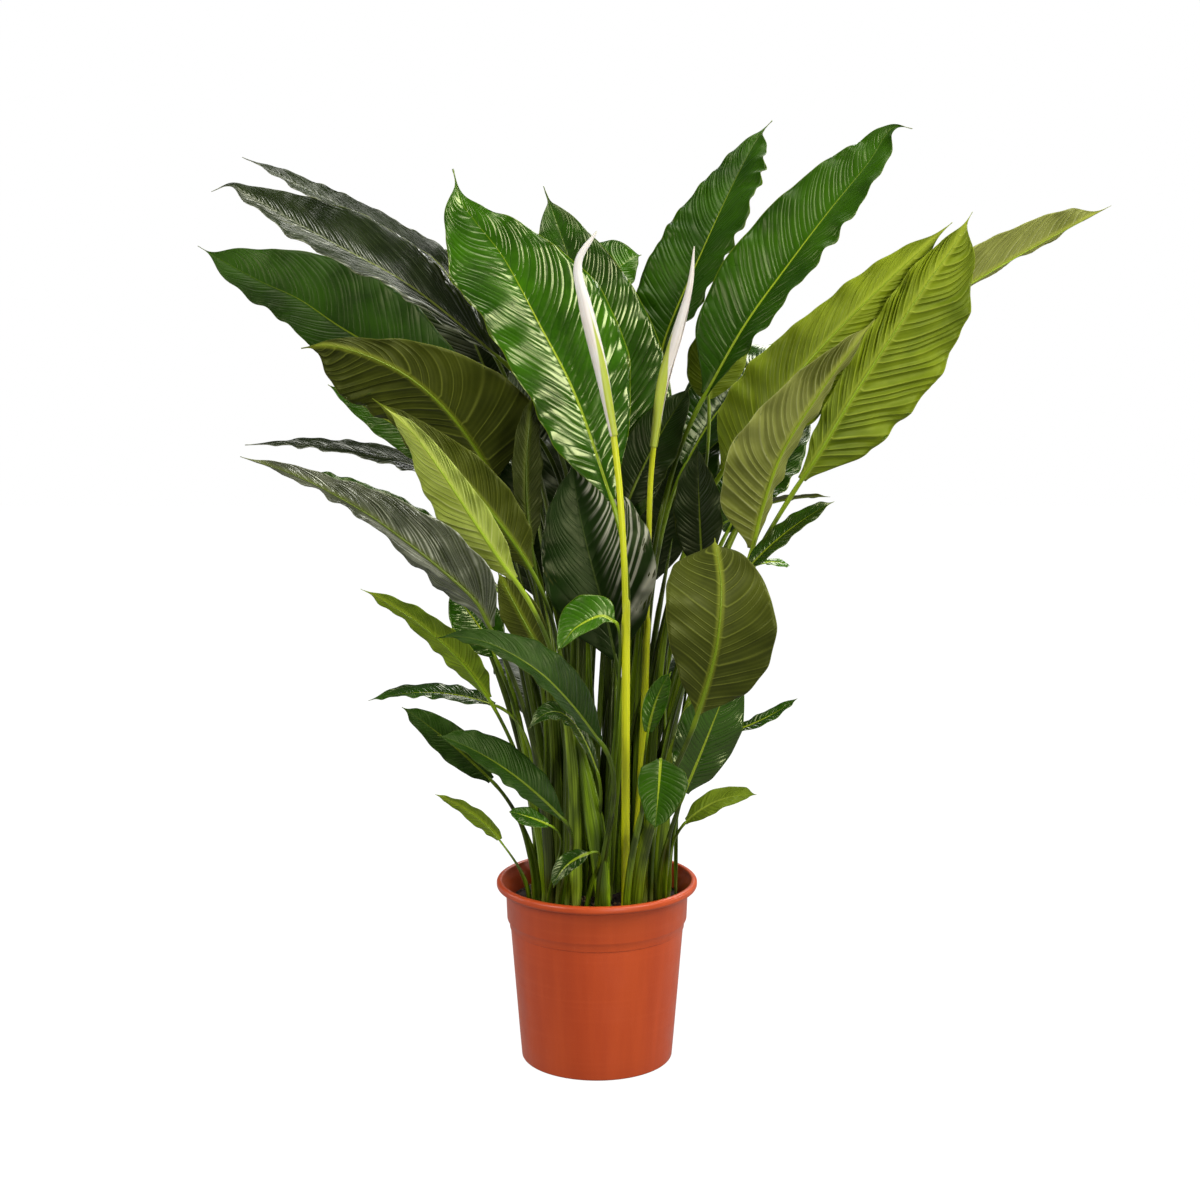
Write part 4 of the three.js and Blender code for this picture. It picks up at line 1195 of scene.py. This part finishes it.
def flower_stalk(flower, materials):
    t = np.linspace(0, 1, 240)
    points, tangents = curve_through(flower["stalk"], t)
    points = np.concatenate([points[:1] - [0, 0, ROOT_DEPTH], points])
    tangents = np.concatenate([tangents[:1], tangents])
    t = np.concatenate([[-0.02], t])
    up, side = carried_frames(tangents, (0, -1, 0))
    angles = turns(24)
    ends = flower["sheath_end"] + 14 * np.cos(angles - 0.6)
    bare = smooth(points[:, 2:3], ends[None] - 1.5, ends[None] + 1.5)
    belly = 1 + 0.12 * np.exp(-(((points[:, 2:3] - ends[None]) / 30) ** 2)) * (1 - bare)
    radius = (flower["low_radius"] + (flower["high_radius"] - flower["low_radius"]) * bare) * belly
    radius = radius * (1 + 0.015 * np.sin(9 * angles)[None])
    ring = rings(points, side, up, radius * np.cos(angles)[None], radius * np.sin(angles)[None])
    skin = Skin(GROWN)
    skin.tube(ring, 0, stem_values(t, angles), clockwise=True)
    settle(skin.build(flower["name"] + "_stem", materials), "stalk", flower["name"] + "_stalk")


def flower_spathe(flower, materials):
    t = np.linspace(SPATHE_FOOT, 1, 150)
    points, tangents = curve_through(flower["spathe"], np.clip(t, 0, 1))
    points = points + tangents * (np.minimum(t, 0) * SPATHE_LENGTH)[:, None]
    up, side = carried_frames(tangents, flower["keel"])
    share = np.linspace(-1, 1, 61)
    radius = np.interp(t, *zip(*flower["girth"]))
    kernel = np.hanning(9) / np.hanning(9).sum()
    radius = np.convolve(np.pad(radius, 4, mode="edge"), kernel, "valid")
    A, T = np.meshgrid(share, t)
    roll = np.radians(SPATHE_HALF_ROLL) * (1 - 0.1 * smooth(T, 0.8, 1.0))
    angle = math.pi / 2 + A * roll
    spiral = 1 + SPATHE_SPIRAL * A
    frill = 1 + SPATHE_FRILL * np.sin(7 * math.pi * T + 2 * A) * np.abs(A) ** 3
    grid_radius = radius[:, None] * spiral * frill
    middle = rings(points, side, up, grid_radius * np.cos(angle), grid_radius * np.sin(angle))
    outward = (
        side[:, None] * np.cos(angle)[..., None] + up[:, None] * np.sin(angle)[..., None]
    ) * (SPATHE_WALL / 2)
    skin = Skin(GROWN)
    values = {"across": A, "along": T, "turn": flower["green"] + 0.0 * A}
    flipped = {key: value[:, ::-1] for key, value in values.items()}
    outer = skin.add((middle + outward)[:, ::-1], 0, values=flipped)[:, ::-1]
    inner = skin.add(middle - outward, 0, values=values)
    skin.join(inner[:, 0], outer[:, 0], 0)
    skin.join(outer[:, -1], inner[:, -1], 0)
    skin.join(inner[0, ::-1], outer[0, ::-1], 0)
    skin.join(inner[-1], outer[-1], 0)
    settle(skin.build(flower["name"] + "_hood", materials), "spathe", flower["name"] + "_spathe")


def flower_spadix(flower, materials):
    t = np.linspace(0.002, SPADIX_SHARE, 90)
    points, tangents = curve_through(flower["spathe"], t)
    up, side = carried_frames(tangents, (0, -1, 0))
    angles = turns(48)
    share = (t - t[0]) / (t[-1] - t[0])
    taper = np.interp(share, [0, 0.1, 0.6, 0.92, 1], [0.75, 0.95, 0.95, 0.65, 0.2])
    body = flower["high_radius"] * taper
    steps = share[:, None] * SPADIX_RINGS
    shifted = 6 * angles[None] + math.pi * np.floor(steps) / 2
    bumps = np.abs(np.sin(math.pi * steps)) * np.abs(np.sin(shifted))
    radius = body[:, None] + SPADIX_BUMP * bumps * (share[:, None] < 0.97)
    ring = rings(points, side, up, radius * np.cos(angles)[None], radius * np.sin(angles)[None])
    skin = Skin(GROWN)
    skin.tube(ring, 0, {"lateral": bumps}, clockwise=True)
    settle(skin.build(flower["name"] + "_spike", materials), "spadix", flower["name"] + "_spadix")


def make_flowers():
    stalk, hood, spike = [stalk_material()], [spathe_material()], [spadix_material()]
    for flower in FLOWERS:
        flower_stalk(flower, stalk)
        flower_spathe(flower, hood)
        flower_spadix(flower, spike)


# ---------------------------------------------------------------- pot and soil

POT_SEGMENTS = 216
DRAIN_SIDES = 32
# Turns each drain hole a little, so that its corners keep off the wall's own edges.
DRAIN_TURN = 0.05
SHARP_DEGREES = 38

SOIL_RINGS = 64
SOIL_SEGMENTS = 192
SOIL_EDGE_DROP = 4
SOIL_EDGE_WIDTH = 14
CRUMB_COUNT = 420
CRUMB_SIZES = (0.8, 2.6)
STRAND_COUNT = 70


def pot_material():
    shader = Shader("terracotta_plastic")
    flow = shader.noise(1, 4, 0.55, shader.stretched(26, 26, 1.6))
    base = shader.mix(shader.ramp(flow, 0.3, 0.7), colour(188, 68, 20), colour(204, 80, 27))
    rings = shader.noise(1, 3, 0.6, shader.stretched(3, 3, 160))
    base = shader.mix(shader.ramp(rings, 0.5, 0.8, 0.0, 0.3), base, colour(210, 88, 38))
    scuffs = shader.noise(1, 6, 0.75, shader.stretched(140, 140, 40), distortion=0.6)
    dust = shader.ramp(scuffs, 0.63, 0.74, 0.0, 0.35)
    base = shader.mix(dust, base, colour(210, 116, 76))
    shader.set("Specular IOR Level", 0.45)
    rough = shader.ramp(shader.noise(38, 4, 0.6), 0.3, 0.7, 0.33, 0.44)
    rough = shader.plus(rough, shader.times(dust, 0.3))
    height = shader.plus(shader.times(rings, 0.5), shader.noise(700, 3, 0.6))
    return shader.finished(base, rough, height, 0.00025, 0.6)


def arc(centre, radius, first, last, count):
    """Points (radius, height) on an arc, by degrees from the outward direction."""
    angles = np.radians(np.linspace(first, last, count))
    return [(centre[0] + radius * math.cos(a), centre[1] + radius * math.sin(a)) for a in angles]


def pot_profile():
    lip_foot = POT_HEIGHT - LIP_HEIGHT
    lip_inner = RIM_RADIUS - LIP_WIDTH
    inner_foot = COLLAR_TOP_RADIUS - WALL
    ledge = 3.2
    points = [(0.01, 1.2), (70, 1.2), (72, 0)]
    points += arc((BASE_RADIUS - 2.5, 2.5), 2.5, -90, -4, 6)
    widening = WALL_TOP_RADIUS - BASE_RADIUS
    points += [(BASE_RADIUS + widening * k / 6, STEP_FOOT * k / 6) for k in range(1, 6)]
    points += [(WALL_TOP_RADIUS, STEP_FOOT), (WALL_TOP_RADIUS + 0.1, STEP_FOOT + ledge - 1)]
    points += arc((WALL_TOP_RADIUS + 0.4, STEP_FOOT + ledge), 0.8, -70, 0, 4)
    points += [(WALL_TOP_RADIUS + 1.5, STEP_TOP - 1)]
    points += [(COLLAR_FOOT_RADIUS - 0.5, STEP_TOP + 3.5), (COLLAR_FOOT_RADIUS, STEP_TOP + 5)]
    points += [(COLLAR_TOP_RADIUS, lip_foot - 1.5)]
    points += arc((COLLAR_TOP_RADIUS + 1.8, lip_foot - 1.2), 1.6, 180, 90, 5)
    points += arc((RIM_RADIUS - 4.2, lip_foot + 4.4), 4.2, -84, 10, 9)
    points += arc((RIM_RADIUS - 3.8, POT_HEIGHT - 3.8), 3.8, 12, 92, 9)
    points += arc((lip_inner + 2.6, POT_HEIGHT - 2.6), 2.6, 95, 175, 6)
    points += [(lip_inner - 2.4, lip_foot + 1.5), (inner_foot, lip_foot - 4)]
    points += [(COLLAR_FOOT_RADIUS - WALL, STEP_TOP), (WALL_TOP_RADIUS - WALL, STEP_FOOT)]
    points += [(BASE_RADIUS - WALL, FLOOR), (0.01, FLOOR)]
    return np.array(points)


def solid_of_grid(name, ring):
    skin = Skin()
    skin.tube(ring, 0)
    return skin.build(name, [])


def notch_cutter(angle):
    """A block with rounded upper corners that stands across the wall at the given angle."""
    half, top, corner, below = NOTCH_WIDTH / 2, NOTCH_HEIGHT, NOTCH_CORNER, 5
    outline = [(-half, -below)]
    outline += [(x - half + corner, z) for x, z in arc((0, top - corner), corner, 180, 90, 5)]
    outline += [(x + half - corner, z) for x, z in arc((0, top - corner), corner, 90, 0, 5)]
    outline = np.array([*outline, (half, -below)])
    out, along, up = spun(math.radians(angle))
    sections = [
        out * reach + along * outline[:, :1] + up * outline[:, 1:]
        for reach in (BASE_RADIUS - 10, BASE_RADIUS + 14)
    ]
    return solid_of_grid("notch", np.array(sections))


def cut(piece, cutters):
    for cutter in cutters:
        knife = piece.modifiers.new("cut", "BOOLEAN")
        knife.operation, knife.solver, knife.object = "DIFFERENCE", "EXACT", cutter
    evaluated = piece.evaluated_get(bpy.context.evaluated_depsgraph_get())
    made = bpy.data.meshes.new_from_object(evaluated)
    piece.modifiers.clear()
    piece.data = made
    for cutter in cutters:
        bpy.data.objects.remove(cutter)


def make_pot():
    profile = pot_profile()
    angles = turns(POT_SEGMENTS)[None]
    radius, height = profile[:, :1], np.repeat(profile[:, 1:], POT_SEGMENTS, 1)
    ring = np.stack([radius * np.cos(angles), radius * np.sin(angles), height], -1)
    pot = solid_of_grid("nursery_pot", ring)
    cutters = [notch_cutter(angle) for angle in NOTCH_ANGLES]
    for k in range(DRAIN_COUNT):
        a = 2 * math.pi * k / DRAIN_COUNT
        centre = DRAIN_RING_RADIUS * np.array([math.cos(a), math.sin(a), 0])
        around = turns(DRAIN_SIDES) + DRAIN_TURN
        hole = DRAIN_RADIUS * np.stack([np.cos(around), np.sin(around), 0 * around], -1)
        ends = [centre + hole + [0, 0, z] for z in (-5, 8)]
        cutters.append(solid_of_grid("drain", np.array(ends)))
    cut(pot, cutters)
    pot.data.materials.append(pot_material())
    for face in pot.data.polygons:
        face.use_smooth = True
    pot.data.set_sharp_from_angle(angle=math.radians(SHARP_DEGREES))
    settle(pot, "pot", "pot")


def soil_material():
    shader = Shader("potting_mix")
    grains = shader.noise(260, 4, 0.7)
    base = shader.mix(shader.ramp(grains, 0.35, 0.65), colour(24, 15, 10), colour(58, 38, 26))
    flecks = shader.ramp(shader.noise(900, 3, 0.7), 0.62, 0.72, 0.0, 0.7)
    base = shader.mix(flecks, base, colour(112, 84, 58))
    rough = shader.ramp(grains, 0.3, 0.7, 0.75, 0.95)
    return shader.finished(base, rough, shader.noise(500, 5, 0.75), 0.002, 0.9)


def fibre_material():
    shader = Shader("coir_and_bark")
    grain = shader.noise(1, 4, 0.6, shader.stretched(300, 300, 300))
    base = shader.mix(shader.ramp(grain, 0.3, 0.7), colour(84, 56, 34), colour(156, 122, 84))
    return shader.finished(base, 0.85, grain, 0.0006, 0.8)


def soil_height(x, y):
    """How far lumps of three sizes raise the soil: their width, a place in the noise, their height."""
    height = 0.0
    for size, place, rise in ((14, 0.3, 2.2), (5, 4.1, 1.3), (2.2, 9.7, 0.6)):
        height += noise.noise(Vector((x / size, y / size, place))) * rise
    return height


def on_soil(angle, radius, wall, raised=0.0):
    """A place on the soil's uneven top, which falls off towards the pot's wall."""
    x, y = radius * math.cos(angle), radius * math.sin(angle)
    edge = SOIL_EDGE_DROP * smooth(radius, wall - SOIL_EDGE_WIDTH, wall)
    return x, y, SOIL_TOP - edge + soil_height(x, y) + raised


def make_soil():
    gap = WALL + SOIL_GAP
    wall = COLLAR_FOOT_RADIUS - gap
    radii = np.linspace(0.2, wall, SOIL_RINGS)
    angles = turns(SOIL_SEGMENTS)
    top = np.array([[on_soil(a, radius, wall) for a in angles] for radius in radii])
    lower = [(COLLAR_FOOT_RADIUS - gap, STEP_TOP), (WALL_TOP_RADIUS - gap, STEP_FOOT)]
    lower += [(BASE_RADIUS - gap, FLOOR + SOIL_GAP), (20, FLOOR + SOIL_GAP)]
    across, deep = np.cos(angles), np.sin(angles)
    turned = [np.stack([r * across, r * deep, z + 0 * angles], -1) for r, z in lower]
    skin = Skin()
    skin.tube(np.concatenate([top, turned])[::-1], 0)
    random = np.random.default_rng(41)
    for _ in range(CRUMB_COUNT):
        a, radius = random.uniform(0, 2 * math.pi), wall * math.sqrt(random.uniform(0.0, 0.96))
        size = random.uniform(*CRUMB_SIZES)
        crumb(skin, random, on_soil(a, radius, wall, 0.3 * size), size, random.integers(0, 2))
    for _ in range(STRAND_COUNT):
        a, radius = random.uniform(0, 2 * math.pi), wall * math.sqrt(random.uniform(0.1, 0.9))
        strand(skin, random, on_soil(a, radius, wall, 0.5))
    piece = skin.build("potting_mix", [soil_material(), fibre_material()])
    settle(piece, "soil", "potting_soil")


def crumb(skin, random, place, size, slot):
    """A small lump with rough sides."""
    rows, columns = 5, 7
    polar = np.linspace(0.25, math.pi - 0.25, rows)[:, None]
    turn = turns(columns)[None]
    ball = [np.sin(polar) * np.cos(turn), np.sin(polar) * np.sin(turn), np.cos(polar) + 0 * turn]
    ball = np.stack(ball, -1)
    stretch = np.array([1.0, random.uniform(0.6, 1.0), random.uniform(0.4, 0.8)]) * size
    rough = random.uniform(0.75, 1.2, (rows, columns, 1))
    ball = (ball * rough * stretch) @ spun(random.uniform(0, math.pi))
    skin.tube(ball + np.array(place), slot, clockwise=True)


def strand(skin, random, place):
    """A thread of coir that lies bent on the soil."""
    length, radius = random.uniform(6, 18), random.uniform(0.25, 0.6)
    yaw, bend = random.uniform(0, 2 * math.pi), random.uniform(-0.5, 0.5)
    t = np.linspace(-0.5, 0.5, 9)
    rise = 1.6 * np.cos(math.pi * t) * random.uniform(0, 1)
    run = np.stack([t * length, bend * length * t**2, rise], -1)
    run = run @ spun(yaw) + np.array(place)
    tangents = unit(np.gradient(run, axis=0))
    up, side = carried_frames(tangents, (0, 0, 1))
    angles = turns(6)[None, :, None]
    ring = run[:, None] + radius * (side[:, None] * np.cos(angles) + up[:, None] * np.sin(angles))
    skin.tube(ring, 1, clockwise=True)


# ---------------------------------------------------------------- the whole

make_camera()
make_stage()
make_leaves()
make_flowers()
make_pot()
make_soil()
